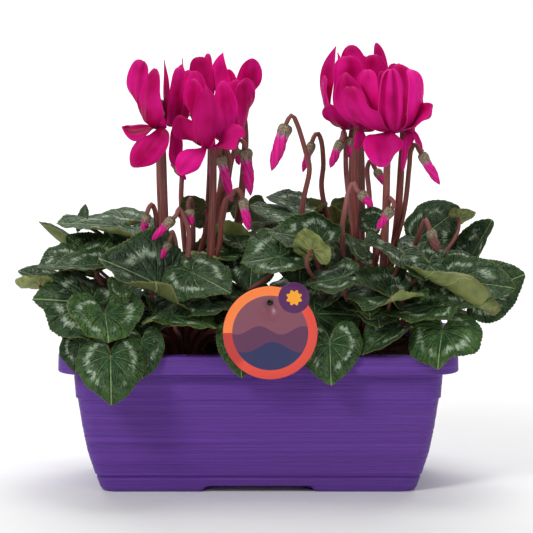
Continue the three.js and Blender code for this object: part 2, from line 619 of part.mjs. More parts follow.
function petalSolid(petal, mouth, clearance) {
  const curve = petalCurve(petal, mouth);
  const points = [];
  const normals = [];
  PETAL_ROWS.forEach((t) => {
    const along = curve.getTangent(t);
    const turn = petal.azimuth + (petal.face - petal.azimuth) * THREE.MathUtils.smoothstep(t, 0.1, 0.7);
    const level = at(Math.cos(degrees(turn)), Math.sin(degrees(turn)), 0);
    const side = level.addScaledVector(along, -level.dot(along)).normalize();
    side.applyAxisAngle(along, degrees(petal.twist * THREE.MathUtils.smoothstep(t, 0, 0.55)));
    const normal = along.clone().cross(side).normalize();
    const half = petalHalfWidth(petal, t) + clearance;
    const centre = curve.getPoint(t).addScaledVector(along, t === 1 ? clearance : 0);
    [-1, 0, 1].forEach((across) => {
      const cup = petal.cup * half * across * across;
      const point = centre.clone().addScaledVector(side, across * half);
      points.push(point.addScaledVector(normal, cup));
      normals.push(normal);
    });
  });
  const triangles = [];
  for (let row = 0; row + 1 < PETAL_ROWS.length; row++) {
    [0, 1].forEach((column) => {
      const a = row * 3 + column;
      triangles.push([a, a + 3, a + 4], [a, a + 4, a + 1]);
    });
  }
  const left = PETAL_ROWS.map((_, row) => row * 3);
  const right = left.map((a) => a + 2).reverse();
  const edge = [...left, left[left.length - 1] + 1, ...right, 1];
  return solid(sheet({ points, triangles, edge }, normals, PETAL_THICKNESS + 2 * clearance));
}

function roundStack(centre, axis, rows, sides) {
  const turn = new THREE.Quaternion().setFromUnitVectors(at(0, 0, 1), axis);
  const rings = rows.map(([distance, radius]) =>
    Array.from({ length: sides }, (_, i) => {
      const angle = (2 * Math.PI * i) / sides;
      const point = at(radius * Math.cos(angle), radius * Math.sin(angle), distance);
      return point.applyQuaternion(turn).add(centre);
    }));
  return solid(loft(rings));
}

function bloomSolid(bloom, clearance) {
  const wide = TUBE_RADIUS - 0.3 + clearance;
  const rows = [[-1.5 - clearance, wide], [4, wide], [TUBE_LENGTH, 3.8 + clearance]];
  const corolla = roundStack(bloom.mouth, at(0, 0, 1), rows, 6);
  return join([corolla, ...bloom.petals.map((petal) => petalSolid(petal, bloom.mouth, clearance))]);
}

// The stalk comes up through the widest space between the petals and hooks over to the calyx
function widestSpace(petals) {
  const turns = petals.map((petal) => (petal.azimuth + 360) % 360).sort((a, b) => a - b);
  const spaces = turns.map((turn, i) => [((turns[i + 1] ?? turns[0] + 360) - turn), turn]);
  const [space, from] = spaces.sort((a, b) => b[0] - a[0])[0];
  return from + space / 2;
}

function bloomStalk(bloom, index, clearance) {
  const crown = CROWNS[bloom.plant];
  const side = outward(widestSpace(bloom.petals));
  const from = bloom.mouth;
  const beside = (distance, height) => from.clone().addScaledVector(side, distance).add(at(0, 0, height));
  const foot = crown.clone().add(outward(index * 60).multiplyScalar(7)).add(at(0, 0, TUBER_HEIGHT - 4));
  const low = foot.clone().lerp(beside(11, -20), 0.75);
  low.z = foot.z + 0.36 * (from.z - foot.z);
  const route = [foot, low, beside(11, -22), beside(8.6, 2), beside(6.5, TUBE_LENGTH + 9),
    beside(2, TUBE_LENGTH + 10), beside(0, TUBE_LENGTH + 4)];
  const radius = (t) => STALK_RADIUS * (1.1 - 0.35 * t) + clearance;
  const calyxFoot = clearance > 0 ? 0.02 : GAP;
  const calyxRows = [[calyxFoot, 4.4 + clearance], [2.4, 4.4 + clearance], [6, 1.6 + clearance]];
  const calyx = roundStack(beside(0, TUBE_LENGTH), at(0, 0, 1), calyxRows, 5);
  return [tube(stalkPoints(route), radius, 4), calyx];
}

// Buds: calyx, tip, greatest radius, and the points that the stalk passes on its way up
const BUD_ROWS = [
  ["left", [-85, -30, 213], [-88, -32, 199], 2.6, [[-77, -22, 195]]],
  ["left", [-65, -42, 212], [-81, -46, 196], 2.9, [[-54, -34, 173], [-53, -36, 201]]],
  ["left", [-69, -36, 193], [-75, -42, 180], 2.6, [[-62, -26, 181]]],
  ["left", [-53, -30, 217], [-51, -33, 205], 2.8, [[-50, -18, 195]]],
  ["left", [-29, -22, 257], [-20, -26, 222], 3.4, [[-38, -8, 205], [-22, -14, 251]]],
  ["left", [-10, -14, 261], [-6, -18, 226], 4.2, [[-30, -2, 195], [-21, -8, 249]]],
  ["left", [-12, -42, 227], [-7, -44, 203], 3.2, [[-30, -30, 189], [-28, -36, 214], [-24, -38, 227]]],
  ["right", [21, -30, 282], [10, -36, 248], 4.6, [[34, -20, 207], [39, -22, 248], [36, -24, 261]]],
  ["right", [41, 0, 264], [34, -4, 242], 2.6, [[49, 8, 225], [50, 6, 247]]],
  ["right", [63, -4, 266], [55, -8, 246], 3.2, [[68, 6, 235]]],
  ["right", [71, 4, 268], [70, 2, 252], 3.0, [[76, 12, 235]]],
  ["right", [91, 12, 241], [98, 6, 230], 2.6, [[86, 16, 215]]],
  ["right", [77, -42, 232], [87, -46, 222], 3.0, [[64, -30, 201], [66, -38, 219]]],
  ["right", [101, -44, 220], [90, -50, 205], 3.0, [[96, -24, 201]]],
  ["right", [124, -30, 260], [138, -34, 237], 3.4, [[110, -20, 208], [115, -26, 249]]],
  ["right", [131, -30, 201], [137, -36, 185], 3.4, [[118, -16, 181]]],
];

const BUDS = BUD_ROWS.map(([plant, calyx, tip, radius, via]) =>
  ({ plant, calyx: at(...calyx), tip: at(...tip), radius, via: via.map((point) => at(...point)) }));

function budSolids(bud, index, clearance) {
  const crown = CROWNS[bud.plant];
  const axis = bud.tip.clone().sub(bud.calyx);
  const length = axis.length();
  axis.normalize();
  const last = bud.via[bud.via.length - 1];
  const side = at(last.x - bud.calyx.x, last.y - bud.calyx.y, 0).normalize();
  const beside = (distance, height) =>
    bud.calyx.clone().addScaledVector(side, distance).add(at(0, 0, height));
  const foot = crown.clone().add(outward(30 + index * 47).multiplyScalar(10)).add(at(0, 0, TUBER_HEIGHT - 5));
  const hook = [beside(8.5, 2), beside(5, 7.5), bud.calyx.clone().addScaledVector(axis, -4)];
  const route = [foot, ...bud.via, ...hook, bud.calyx.clone().addScaledVector(axis, 2)];
  const radius = (t) => BUD_STALK_RADIUS * (1.15 - 0.3 * t) + clearance;
  const corolla = [
    [0, 2], [3.4, 3.9], [6.4, bud.radius * 0.95], [0.66 * length, bud.radius], [length, 0.6],
  ].filter(([distance], i) => i < 3 || distance > 7);
  const body = roundStack(bud.calyx, axis, corolla.map(([d, r]) => [d, r + clearance]), 5);
  return [tube(stalkPoints(route), radius, 3), body];
}

// The whole

const stemsOf = (plant, clearance) => {
  const leaves = [...LEAVES, ...BACK_LEAVES].filter((leaf) => leaf.plant === plant);
  return [
    ...BLOOMS.flatMap((bloom, i) => (bloom.plant === plant ? bloomStalk(bloom, i, clearance) : [])),
    ...BUDS.flatMap((bud, i) => (bud.plant === plant ? budSolids(bud, i, clearance) : [])),
    ...leaves.map((leaf) => petiole(leaf, clearance)),
  ];
};

const trough = troughSolid();
const soilBed = soilSolid();
const card = tagCard().translate([TAG.x, TAG.y, TAG.z]);
const stake = stakeSolid(0);
settle(LEAVES.concat(BACK_LEAVES), [trough, soilBed, card, stake]);

const STEM = { color: 0x7a403c, roughness: 0.6, metalness: 0 };
const LEAF = { color: 0x3f6b3f, roughness: 0.5, metalness: 0 };
const PETAL = { color: 0xd01f78, roughness: 0.5, metalness: 0 };

const group = new THREE.Group();
group.position.set(TROUGH_X, TROUGH_Y, 0);
group.add(mesh("trough", trough, { color: 0x67359a, roughness: 0.45, metalness: 0 }));
group.add(mesh("tag-card", card, { color: 0xe8743a, roughness: 0.4, metalness: 0 }));
group.add(mesh("tag-stake", stake, { color: 0x3c5a34, roughness: 0.5, metalness: 0 }));

const clearances = {};
["left", "right"].forEach((plant) => {
  const stems = largest(join([tuber(CROWNS[plant], 0), ...stemsOf(plant, 0)]));
  group.add(mesh(`${plant}-plant-stems-and-buds`, stems, STEM));
  clearances[plant] = join(stemsOf(plant, GAP));
});

function cleared(shape) {
  const cutters = Object.values(clearances).filter((stems) => shape.intersect(stems).volume() > 0);
  return cutters.length ? largest(shape.subtract(join(cutters))) : shape;
}

group.add(mesh("soil", cleared(soilBed), { color: 0x2a1810, roughness: 0.95, metalness: 0 }));

// A petal is cut back where one of an earlier bloom stands in its way
BLOOMS.forEach((bloom, i) => {
  const earlier = BLOOMS.slice(0, i).map((other) => bloomSolid(other, GAP));
  const cut = (shape, other) => (overlaps(shape, other) ? largest(shape.subtract(other)) : shape);
  group.add(mesh(bloom.name, earlier.reduce(cut, cleared(bloomSolid(bloom, 0))), PETAL));
});

[...LEAVES, ...BACK_LEAVES].forEach((leaf) => {
  group.add(mesh(leaf.name, cleared(blade(leaf, leaf.place, BLADE_THICKNESS)), LEAF));
});

export default group;
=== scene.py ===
import math

import bpy
import numpy as np
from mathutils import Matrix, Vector


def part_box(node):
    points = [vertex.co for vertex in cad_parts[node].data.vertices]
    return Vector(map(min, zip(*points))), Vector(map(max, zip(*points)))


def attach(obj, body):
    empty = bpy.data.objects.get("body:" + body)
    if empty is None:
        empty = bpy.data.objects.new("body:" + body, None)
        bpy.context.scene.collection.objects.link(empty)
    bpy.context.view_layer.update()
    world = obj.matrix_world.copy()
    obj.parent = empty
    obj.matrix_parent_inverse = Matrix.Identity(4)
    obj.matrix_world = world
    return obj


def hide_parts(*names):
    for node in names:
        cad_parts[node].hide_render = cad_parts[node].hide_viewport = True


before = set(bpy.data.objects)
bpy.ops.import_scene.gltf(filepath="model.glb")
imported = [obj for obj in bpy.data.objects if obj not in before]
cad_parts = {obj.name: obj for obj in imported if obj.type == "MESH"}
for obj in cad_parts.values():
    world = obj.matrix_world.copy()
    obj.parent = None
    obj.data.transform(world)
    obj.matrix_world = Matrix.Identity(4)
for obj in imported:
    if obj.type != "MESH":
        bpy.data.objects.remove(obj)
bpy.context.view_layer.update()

MM = 0.001
TROUGH_AT = np.array([-7.0, 5.0, 0.0])  # the trough's centre in the part's frame, mm
UP = np.array([0.0, 0.0, 1.0])
TURN = 2 * math.pi
ANY_PHASE = 6.28  # the range of random phases, radians


def vec(*values):
    return np.array(values, float)


def unit(v):
    return v / np.linalg.norm(v, axis=-1, keepdims=True)


def rotated(v, axis, degrees):
    """v turned about a unit axis."""
    c, s = math.cos(math.radians(degrees)), math.sin(math.radians(degrees))
    return v * c + np.cross(axis, v) * s + axis * np.dot(axis, v) * (1 - c)


def outward(azimuth):
    return vec(math.sin(math.radians(azimuth)), -math.cos(math.radians(azimuth)), 0)


def smooth(low, high, x):
    t = np.clip((x - low) / (high - low), 0, 1)
    return t * t * (3 - 2 * t)


def bezier(t, a, b, c, d):
    return (1 - t) ** 3 * a + 3 * t * (1 - t) ** 2 * b + 3 * t ** 2 * (1 - t) * c + t ** 3 * d


def lengths(points):
    """Distance from the first point along a line of points."""
    return np.concatenate([[0], np.cumsum(np.linalg.norm(np.diff(points, axis=0), axis=1))])


def spline(route, steps):
    """Centripetal Catmull-Rom points through a route, evenly along its length."""
    knots = [2 * route[0] - route[1], *route, 2 * route[-1] - route[-2]]
    out = []
    for i in range(1, len(knots) - 2):
        p, t = knots[i - 1 : i + 3], [0.0]
        for a, b in zip(p, p[1:]):
            t.append(t[-1] + max(np.linalg.norm(b - a) ** 0.5, 1e-4))
        for s in np.linspace(t[1], t[2], 14, endpoint=False):
            between = lambda a, b, j, k: (t[k] - s) / (t[k] - t[j]) * a + (s - t[j]) / (t[k] - t[j]) * b
            first = [between(p[j], p[j + 1], j, j + 1) for j in range(3)]
            second = [between(first[j], first[j + 1], j, j + 2) for j in range(2)]
            out.append(between(*second, 1, 2))
    out = np.array(out + [knots[-2]])
    length = lengths(out)
    at = np.linspace(0, length[-1], steps + 1)
    return np.stack([np.interp(at, length, out[:, k]) for k in range(3)], axis=1)


def table(text):
    """The words of each line, with its numbers as numbers."""
    number = lambda word: float(word) if word.lstrip("-")[0].isdigit() else word
    return [[number(word) for word in line.split()] for line in text.strip().splitlines()]


# Meshes


class Build:
    """Gathers the mesh, coordinates and material numbers of one piece, in mm about the trough's centre."""

    def __init__(self):
        self.points, self.faces, self.uvs, self.tints, self.slots = [], [], [], [], []
        self.count = 0

    def add(self, points, faces, uv=None, tint=(0, 0), slot=0):
        """Faces are rows of point numbers, filled up with -1."""
        n = len(points)
        self.points.append(points)
        self.uvs.append(np.zeros((n, 2)) if uv is None else uv)
        self.tints.append(np.broadcast_to(np.asarray(tint, float), (n, 2)))
        self.faces.append(np.where(faces < 0, -1, faces + self.count))
        self.slots.append(np.broadcast_to(slot, (len(faces),)))
        self.count += n

    def piece(self, name, materials, slot, replaces=(), body="root"):
        points = (np.concatenate(self.points) + TROUGH_AT) * MM
        faces = np.concatenate(self.faces)
        keep = faces >= 0
        loops, sizes = faces[keep], keep.sum(axis=1)
        mesh = bpy.data.meshes.new(name)
        mesh.vertices.add(len(points))
        mesh.vertices.foreach_set("co", points.ravel())
        mesh.loops.add(len(loops))
        mesh.loops.foreach_set("vertex_index", loops.astype(np.int32))
        mesh.polygons.add(len(sizes))
        mesh.polygons.foreach_set("loop_start", np.concatenate([[0], np.cumsum(sizes)[:-1]]).astype(np.int32))
        mesh.polygons.foreach_set("material_index", np.concatenate(self.slots).astype(np.int32))
        mesh.polygons.foreach_set("use_smooth", np.ones(len(sizes), bool))
        for label, values in (("place", self.uvs), ("tint", self.tints)):
            mesh.uv_layers.new(name=label).data.foreach_set("uv", np.concatenate(values)[loops].ravel())
        mesh.update()
        mesh.validate()
        for material in materials:
            mesh.materials.append(material)
        made = bpy.data.objects.new(name, mesh)
        bpy.context.scene.collection.objects.link(made)
        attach(made, body)
        if replaces:
            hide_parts(*replaces)


def padded(triangles):
    return np.hstack([triangles, np.full((len(triangles), 1), -1)])


def grid_faces(rows, columns, closed):
    """Quads between rows of points; closed rows wrap round."""
    r, c = np.meshgrid(np.arange(rows - 1), np.arange(columns if closed else columns - 1), indexing="ij")
    a, b = r * columns + c, r * columns + (c + 1) % columns
    return np.stack([a, b, b + columns, a + columns], axis=-1).reshape(-1, 4)


def stack_faces(count, sides):
    """Closed rings joined by quads, with fans from the ends to the two points that follow the rings."""
    ring, first = np.arange(sides), np.full(sides, count * sides)
    after, top = (ring + 1) % sides, (count - 1) * sides
    near = np.stack([first, after, ring], axis=1)
    far = np.stack([first + 1, top + ring, top + after], axis=1)
    return np.concatenate([grid_faces(count, sides, True), padded(near), padded(far)])


def sheet_faces(rows, columns):
    """A grid of points, its copy under it and the band between them."""
    n, sheet = rows * columns, grid_faces(rows, columns, False)
    edge = np.concatenate([np.arange(columns), columns * np.arange(1, rows) + columns - 1,
                           n - 2 - np.arange(columns - 1), columns * np.arange(rows - 2, 0, -1)])
    after = np.roll(edge, -1)
    return np.concatenate([sheet, sheet[:, ::-1] + n, np.stack([edge + n, after + n, after, edge], axis=1)])


def around(sides):
    return np.arange(sides) * 2 * math.pi / sides


def add_stack(build, rings, ends, shares, tint, slot):
    """A solid of rings; shares are their places along it, 0 to 1."""
    count, sides = len(rings), len(rings[0])
    uv = np.stack([np.tile(around(sides) / TURN, count), np.repeat(shares, sides)], axis=1)
    uv = np.concatenate([uv, [[0.5, 0], [0.5, 1]]])
    build.add(np.concatenate([*rings, ends]), stack_faces(count, sides), uv, tint, slot)


def tube(build, points, radii, sides, tint=(0, 0)):
    """A closed round stem through points."""
    along = unit(np.gradient(points, axis=0))
    normal = vec(1, 0, 0) if abs(along[0][0]) < 0.9 else vec(0, 1, 0)
    turn, rings = around(sides), []
    for centre, tangent, radius in zip(points, along, np.broadcast_to(radii, len(points))):
        normal = unit(normal - tangent * np.dot(normal, tangent))
        binormal = np.cross(tangent, normal)
        rings.append(centre + radius * (np.outer(np.cos(turn), normal) + np.outer(np.sin(turn), binormal)))
    length = lengths(points)
    add_stack(build, rings, points[[0, -1]], length / max(length[-1], 1e-6), tint, 0)


def round_stack(build, centre, axis, rows, sides, slot, lobes, depth, twist=0.0, tint=(0, 0), points=0.0):
    """A lobed solid about an axis, from rows of distance and radius, its far edge drawn out into points."""
    ref = vec(1, 0, 0) if abs(axis[0]) < 0.9 else vec(0, 1, 0)
    x = unit(ref - axis * np.dot(ref, axis))
    y, turn = np.cross(axis, x), around(sides)
    start, total = rows[0][0], rows[-1][0] - rows[0][0]
    shares = [(distance - start) / total for distance, _ in rows]
    toothed = 1 - 2 * np.abs((lobes * turn / TURN) % 1 - 0.5)
    rings = []
    for share, (distance, radius) in zip(shares, rows):
        r = radius * (1 + depth * np.cos(lobes * (turn - twist * share)))
        reach = distance + points * (1.6 * toothed - 0.6) * max(0.0, share - 0.45) / 0.55
        across = np.outer(r * np.cos(turn), x) + np.outer(r * np.sin(turn), y)
        rings.append(centre + np.outer(reach, axis) + across)
    add_stack(build, rings, [centre + axis * start, centre + axis * rows[-1][0]], shares, tint, slot)


# Materials


def rgb(r, g, b):
    """A linear colour from an sRGB one, 0 to 255."""
    linear = lambda c: c / 255 / 12.92 if c / 255 <= 0.04045 else ((c / 255 + 0.055) / 1.055) ** 2.4
    return (linear(r), linear(g), linear(b), 1.0)


class Value:
    """A node's output. Arithmetic with it makes math nodes."""

    def __init__(self, nodes, socket):
        self.nodes, self.socket = nodes, socket

    def op(self, operation, *others):
        return self.nodes.math(operation, self, *others)

    __add__ = __radd__ = lambda self, other: self.op("ADD", other)
    __mul__ = __rmul__ = lambda self, other: self.op("MULTIPLY", other)
    __sub__ = lambda self, other: self.op("SUBTRACT", other)
    __rsub__ = lambda self, other: self.nodes.math("SUBTRACT", other, self)
    __truediv__ = lambda self, other: self.op("DIVIDE", other)
    __abs__ = lambda self: self.op("ABSOLUTE")


class Nodes:
    """Short names for building a node material."""

    def __init__(self, name, **shader):
        self.material = bpy.data.materials.new(name)
        self.material.use_nodes = True
        self.tree = self.material.node_tree
        self.shader = self.tree.nodes["Principled BSDF"]
        for socket, value in shader.items():
            self.put(self.shader.inputs[socket.replace("_", " ")], value)

    def put(self, socket, value):
        if isinstance(value, Value):
            self.tree.links.new(value.socket, socket)
        else:
            socket.default_value = value

    def new(self, kind, inputs, output=0, **settings):
        node = self.tree.nodes.new("ShaderNode" + kind)
        for key, value in settings.items():
            setattr(node, key, value)
        for key, value in inputs.items():
            self.put(node.inputs[key], value)
        return Value(self, node.outputs[output])

    def math(self, operation, *values):
        return self.new("Math", dict(enumerate(values)), operation=operation)

    def mix(self, factor, a, b):
        """Colours are outputs, sRGB ones of three numbers or linear ones of four."""
        a, b = (rgb(*c) if isinstance(c, tuple) and len(c) == 3 else c for c in (a, b))
        return self.new("Mix", {0: factor, 6: a, 7: b}, 2, data_type="RGBA")

    def paint(self, colour, *coats):
        """A colour under coats, each a factor and a colour."""
        for factor, coat in coats:
            colour = self.mix(factor, colour, coat)
        return colour

    def step(self, value, low, high, first=0.0, last=1.0):
        inputs = dict(enumerate((value, low, high, first, last)))
        return self.new("MapRange", inputs, interpolation_type="SMOOTHSTEP")

    def uv(self, label):
        split = self.new("SeparateXYZ", {0: self.new("UVMap", {}, uv_map=label)}).socket.node
        return [Value(self, split.outputs[i]) for i in (0, 1)]

    def join(self, x, y, z=0.0):
        return self.new("CombineXYZ", {0: x, 1: y, 2: z})

    def noise(self, vector, scale, detail=2.0, rough=0.5):
        inputs = {"Vector": vector, "Scale": scale, "Detail": detail, "Roughness": rough}
        return self.new("TexNoise", inputs, "Fac")

    def grain(self, scale, detail=2.0, rough=0.5, stretch=(1, 1, 1)):
        """Noise in the object's own coordinates."""
        place = self.new("Mapping", {0: self.new("TexCoord", {}, "Object"), 3: stretch})
        return self.noise(place, scale, detail, rough)

    def finish(self, colour, roughness=None, height=None, strength=0.3, distance=0.001):
        bump = height and self.new("Bump", {"Height": height, "Strength": strength, "Distance": distance})
        for socket, value in (("Base Color", colour), ("Roughness", roughness), ("Normal", bump)):
            if value is not None:
                self.put(self.shader.inputs[socket], value)
        return self.material


VEIN_SPREAD = 0.76  # radians between main veins
LEAF_UV = 6.0  # half widths across the leaf's coordinate square


def leaf_fields(n):
    """Place in the blade, share of the way to its edge, tone with painted shade, and distances to its main
    and fine veins.
    """
    forward, side = ((value - 0.5) * LEAF_UV for value in n.uv("place"))
    reach, shade = n.uv("tint")
    radius = (forward * forward + side * side).op("SQRT")
    angle = abs(side.op("ARCTAN2", forward))
    flat = n.join(forward, side, shade * 9.0)
    wander = (n.noise(flat, 2.4) - 0.5) * 0.55
    turns = angle / (1.0 - radius * 0.22) / VEIN_SPREAD + wander * radius
    main = turns.op("PINGPONG", 0.5) * (radius * VEIN_SPREAD)
    fine = (turns * 2.0 + radius * 1.9).op("PINGPONG", 0.5) * (radius * (VEIN_SPREAD / 2))
    return forward, side, radius, angle, reach, shade, flat, main, fine


def leaf_top():
    n = Nodes("leaf-top", Roughness=0.42, Specular_IOR_Level=0.26)
    forward, side, radius, angle, reach, shade, flat, main, fine = leaf_fields(n)
    # the silver band, jagged along the veins and broken by them
    jag = (n.noise(n.join(angle * 11.0, radius * 1.6, shade * 31.0), 2.2, 4.0, 0.7) - 0.5) * 0.5
    speck = (n.noise(flat, 24.0, 3.0, 0.7) - 0.5) * 0.2
    sway = (n.noise(flat, 1.1) - 0.5) * 0.3
    band = (n.step(abs(reach - 0.66 + sway + (jag + speck)), 0.04, 0.1, 1.0, 0.0)
            * n.step(main, 0.01, 0.05, 0.15) * n.step(fine, 0.0, 0.02, 0.45) * n.step(angle, 0.05, 0.4)
            * n.step(n.noise(flat, 2.3), 0.4, 0.54) * n.step(n.noise(flat, 60.0), 0.3, 0.5, 0.55))
    vein_width = reach * -0.012 + 0.017
    colour = n.paint(
        # darker green for a low shade value: partly the leaf's own tone, partly painted shade for leaves in
        # shadow
        n.mix(n.step(n.noise(flat, 4.0, 5.0, 0.65), 0.35, 0.68),
              n.mix(shade, (26, 44, 28), (36, 72, 26)), n.mix(shade, (62, 80, 60), (90, 130, 56))),
        (n.step(main.op("MINIMUM", fine), 0.01, 0.12, 0.3, 0.0), (20, 42, 20)),
        (n.step(reach, 0.15, 0.5, 0.5, 0.0), (46, 84, 54)),
        (n.step(reach, 0.76, 0.97, 0.0, 0.35), (50, 86, 34)),
        (band * 0.95, (170, 190, 162)),
        (n.step(fine, 0.003, 0.012, 0.45, 0.0) * n.step(reach, 0.3, 0.6), (104, 140, 88)),
        (n.step(main, vein_width * 0.3, vein_width, 0.6, 0.0) * n.step(reach, 0.45, 0.95, 1.0, 0.15),
         (146, 172, 112)),
        (n.step(abs(side), 0.006, 0.022, 0.85, 0.0) * n.step(forward, 0.0, 0.06), (150, 176, 116)),
        (n.step(radius, 0.02, 0.07, 0.8, 0.0), (96, 82, 52)),
        (n.step(reach, 0.98, 0.995, 0.0, 0.7), (118, 118, 62)),
        (n.step(n.noise(flat, 90.0), 0.62, 0.75, 0.0, 0.15), (170, 185, 160)),
    )
    net = n.new("TexVoronoi", {"Vector": flat, "Scale": 6.0}, "Distance", feature="DISTANCE_TO_EDGE")
    ribs = n.step(main, 0.0, 0.08, 1.0, 0.0).op("MAXIMUM", n.step(fine, 0.0, 0.05, 1.0, 0.0) * 0.6)
    height = ribs * -0.9 + n.step(net, 0.0, 0.16) * 0.5
    height = height + n.noise(flat, 7.0, 3.0) * 1.2 + n.noise(flat, 45.0) * 0.12
    return n.finish(colour, n.noise(flat, 8.0) * 0.22 + 0.34, height, 0.85, 0.0014)


def leaf_under():
    n = Nodes("leaf-under", Roughness=0.6, Specular_IOR_Level=0.3)
    reach, shade, flat, main, fine = leaf_fields(n)[4:]
    colour = n.paint(
        n.mix(n.step(n.noise(flat, 3.0, 3.0), 0.3, 0.7), (104, 116, 62), (146, 156, 92)),
        # darker olive for a low shade value: partly the leaf's own tone, partly painted shade
        (n.step(shade, 0.0, 0.4, 0.75, 0.0), (58, 66, 30)),
        (n.step(main, 0.006, 0.022, 0.6, 0.0), (170, 166, 112)),
        (n.step(fine, 0.0, 0.014, 0.3, 0.0), (158, 166, 108)),
        (n.step(reach, 0.95, 1.0, 0.0, 0.6), (124, 116, 66)),
    )
    ribs = n.step(main, 0.0, 0.05, 1.0, 0.0).op("MAXIMUM", n.step(fine, 0.0, 0.03, 1.0, 0.0) * 0.4)
    return n.finish(colour, None, ribs + n.noise(flat, 6.0, 3.0) * 1.5, 0.5, 0.0009)


def petal_look():
    n = Nodes("petal", Roughness=0.5, Specular_IOR_Level=0.05)
    across, along = n.uv("place")
    reach, shade = n.uv("tint")
    streak = n.noise(n.join(across * 34.0, along * 2.2, shade * 17.0), 2.0, 4.0, 0.6)
    colour = n.paint(
        # darker middle, lighter sides: partly the petal's own colour, partly painted shade in its hollow and
        # painted light on its sides
        n.mix(n.step(abs((across - 0.5) * 2.0), 0.05, 0.95), (188, 2, 88), (255, 16, 154)),
        (n.step(streak, 0.3, 0.75, 0.5, 0.0), (150, 0, 70)),
        (n.step(n.grain(34.0), 0.36, 0.62, 0.0, 0.7), (255, 36, 168)),
        # darker towards the base: partly the petal's own deeper crimson, partly painted shade deep in the
        # flower
        (n.step(along, 0.05, 0.6, 0.85, 0.0), (128, 0, 56)),
        (n.step(along, 0.0, 0.12, 0.85, 0.0), (140, 26, 132)),
        # paler rim: partly a paler margin, partly a painted highlight along the edge
        (n.step(reach, 0.9, 1.0, 0.0, 0.4), (248, 66, 172)),
        # whole petals darker: a random tone for most, painted shade for the petals set dark
        (shade * 0.62, (140, 0, 54)),
    )
    height = streak * 0.6 + n.grain(1400.0) * 0.35
    return n.finish(colour, n.step(streak, 0.2, 0.8, 0.42, 0.58), height, 0.18, 0.0006)


def stalk_look():
    n = Nodes("stalk", Roughness=0.55, Specular_IOR_Level=0.35, Sheen_Weight=0.25, Sheen_Roughness=0.5,
              Sheen_Tint=rgb(230, 170, 160))
    turn, along = n.uv("place")
    kind, shade = n.uv("tint")
    streak = n.noise(n.join(turn * 24.0, along * 6.0, shade * 11.0), 1.5, 3.0)
    colour = n.paint(
        n.mix(n.step(streak, 0.34, 0.66), (74, 28, 26), (142, 68, 60)),
        (n.step(along, 0.6, 0.95, 0.0, 0.45), (104, 60, 50)),
        (kind * 0.7, (176, 112, 112)),
        (n.step(shade, 0.8, 1.0, 0.0, 0.6), (72, 44, 38)),
    )
    return n.finish(colour, None, streak * 0.4 + n.grain(1800.0, stretch=(1, 1, 0.3)) * 0.5, 0.35, 0.0004)


def calyx_look():
    n = Nodes("calyx", Roughness=0.65, Specular_IOR_Level=0.25)
    turn, along = n.uv("place")
    vein = n.noise(n.join(turn * 20.0, along * 3.0), 2.0, 4.0, 0.7)
    colour = n.paint(
        n.mix(n.step(vein, 0.35, 0.65), (104, 88, 72), (176, 166, 138)),
        (n.step(n.grain(900.0, 3.0, 0.7), 0.48, 0.62, 0.0, 0.75), (84, 58, 48)),
        (n.step(along, 0.0, 0.4, 0.8, 0.0), (70, 58, 44)),
    )
    return n.finish(colour, None, vein, 0.4, 0.0006)


def bud_look():
    n = Nodes("bud", Roughness=0.5, Specular_IOR_Level=0.3, Sheen_Weight=0.25, Sheen_Roughness=0.4,
              Sheen_Tint=rgb(255, 150, 215))
    turn, along = n.uv("place")
    withered, _ = n.uv("tint")
    fold = turn * 5.0 + along * 2.2
    crease = fold.op("PINGPONG", 0.5)
    streak = n.noise(n.join(fold * 6.0, along * 2.0), 3.0, 3.0)
    colour = n.paint(
        n.mix(n.step(streak, 0.3, 0.7), (206, 0, 122), (246, 22, 156)),
        (n.step(along, 0.0, 0.26, 0.9, 0.0), (208, 132, 208)),
        # painted shade: darker crimson along the creases between the twisted petals
        (n.step(crease, 0.0, 0.12, 0.7, 0.0), (128, 10, 92)),
        (withered, n.mix(n.step(streak, 0.35, 0.7), (88, 40, 42), (158, 104, 100))),
    )
    return n.finish(colour, None, n.step(crease, 0.0, 0.3), 0.6, 0.001)


def trough_look():
    n = Nodes("trough", Roughness=0.45, Specular_IOR_Level=0.4)
    fine, broad = n.grain(1.0, 4.0, 0.6, (5, 5, 1500)), n.grain(1.0, 3.0, 0.6, (4, 4, 520))
    lines = fine * 0.6 + broad * 0.4
    colour = n.paint(
        n.mix(n.step(lines, 0.36, 0.64), (88, 44, 142), (104, 54, 160)),
        (n.step(n.grain(1.0, stretch=(9, 9, 14)), 0.35, 0.7, 0.0, 0.3), (100, 56, 146)),
        (n.step(n.grain(420.0, 3.0, 0.7), 0.7, 0.76, 0.0, 0.6), (64, 36, 84)),
    )
    height = n.step(fine, 0.3, 0.6) + n.step(broad, 0.35, 0.6) * 0.8
    return n.finish(colour, n.step(lines, 0.3, 0.7, 0.38, 0.55), height, 0.55, 0.0007)


def soil_look():
    n = Nodes("soil", Roughness=0.95, Specular_IOR_Level=0.15)
    clump, fibre = n.grain(160.0, 5.0, 0.7), n.grain(520.0, 3.0, 0.7, (1, 3, 1))
    colour = n.mix(n.step(clump, 0.3, 0.7), (34, 21, 20), (86, 58, 46))
    colour = n.mix(n.step(fibre, 0.6, 0.72, 0.0, 0.7), colour, (112, 76, 52))
    return n.finish(colour, None, clump + fibre * 0.5, 0.9, 0.002)


LEAF_TOP, LEAF_UNDER, PETAL, STALK = leaf_top(), leaf_under(), petal_look(), stalk_look()
CALYX, BUD, TROUGH, SOIL = calyx_look(), bud_look(), trough_look(), soil_look()


# Trough

TROUGH_HEIGHT, RIM_HALF_LENGTH, RIM_HALF_DEPTH, RIM_SKIRT, WALL = 111, 152.5, 72.5, 14, 2.6
CORNER, CORNER_STEPS, SIDE_STEPS = 11, 10, (72, 28, 72, 28)
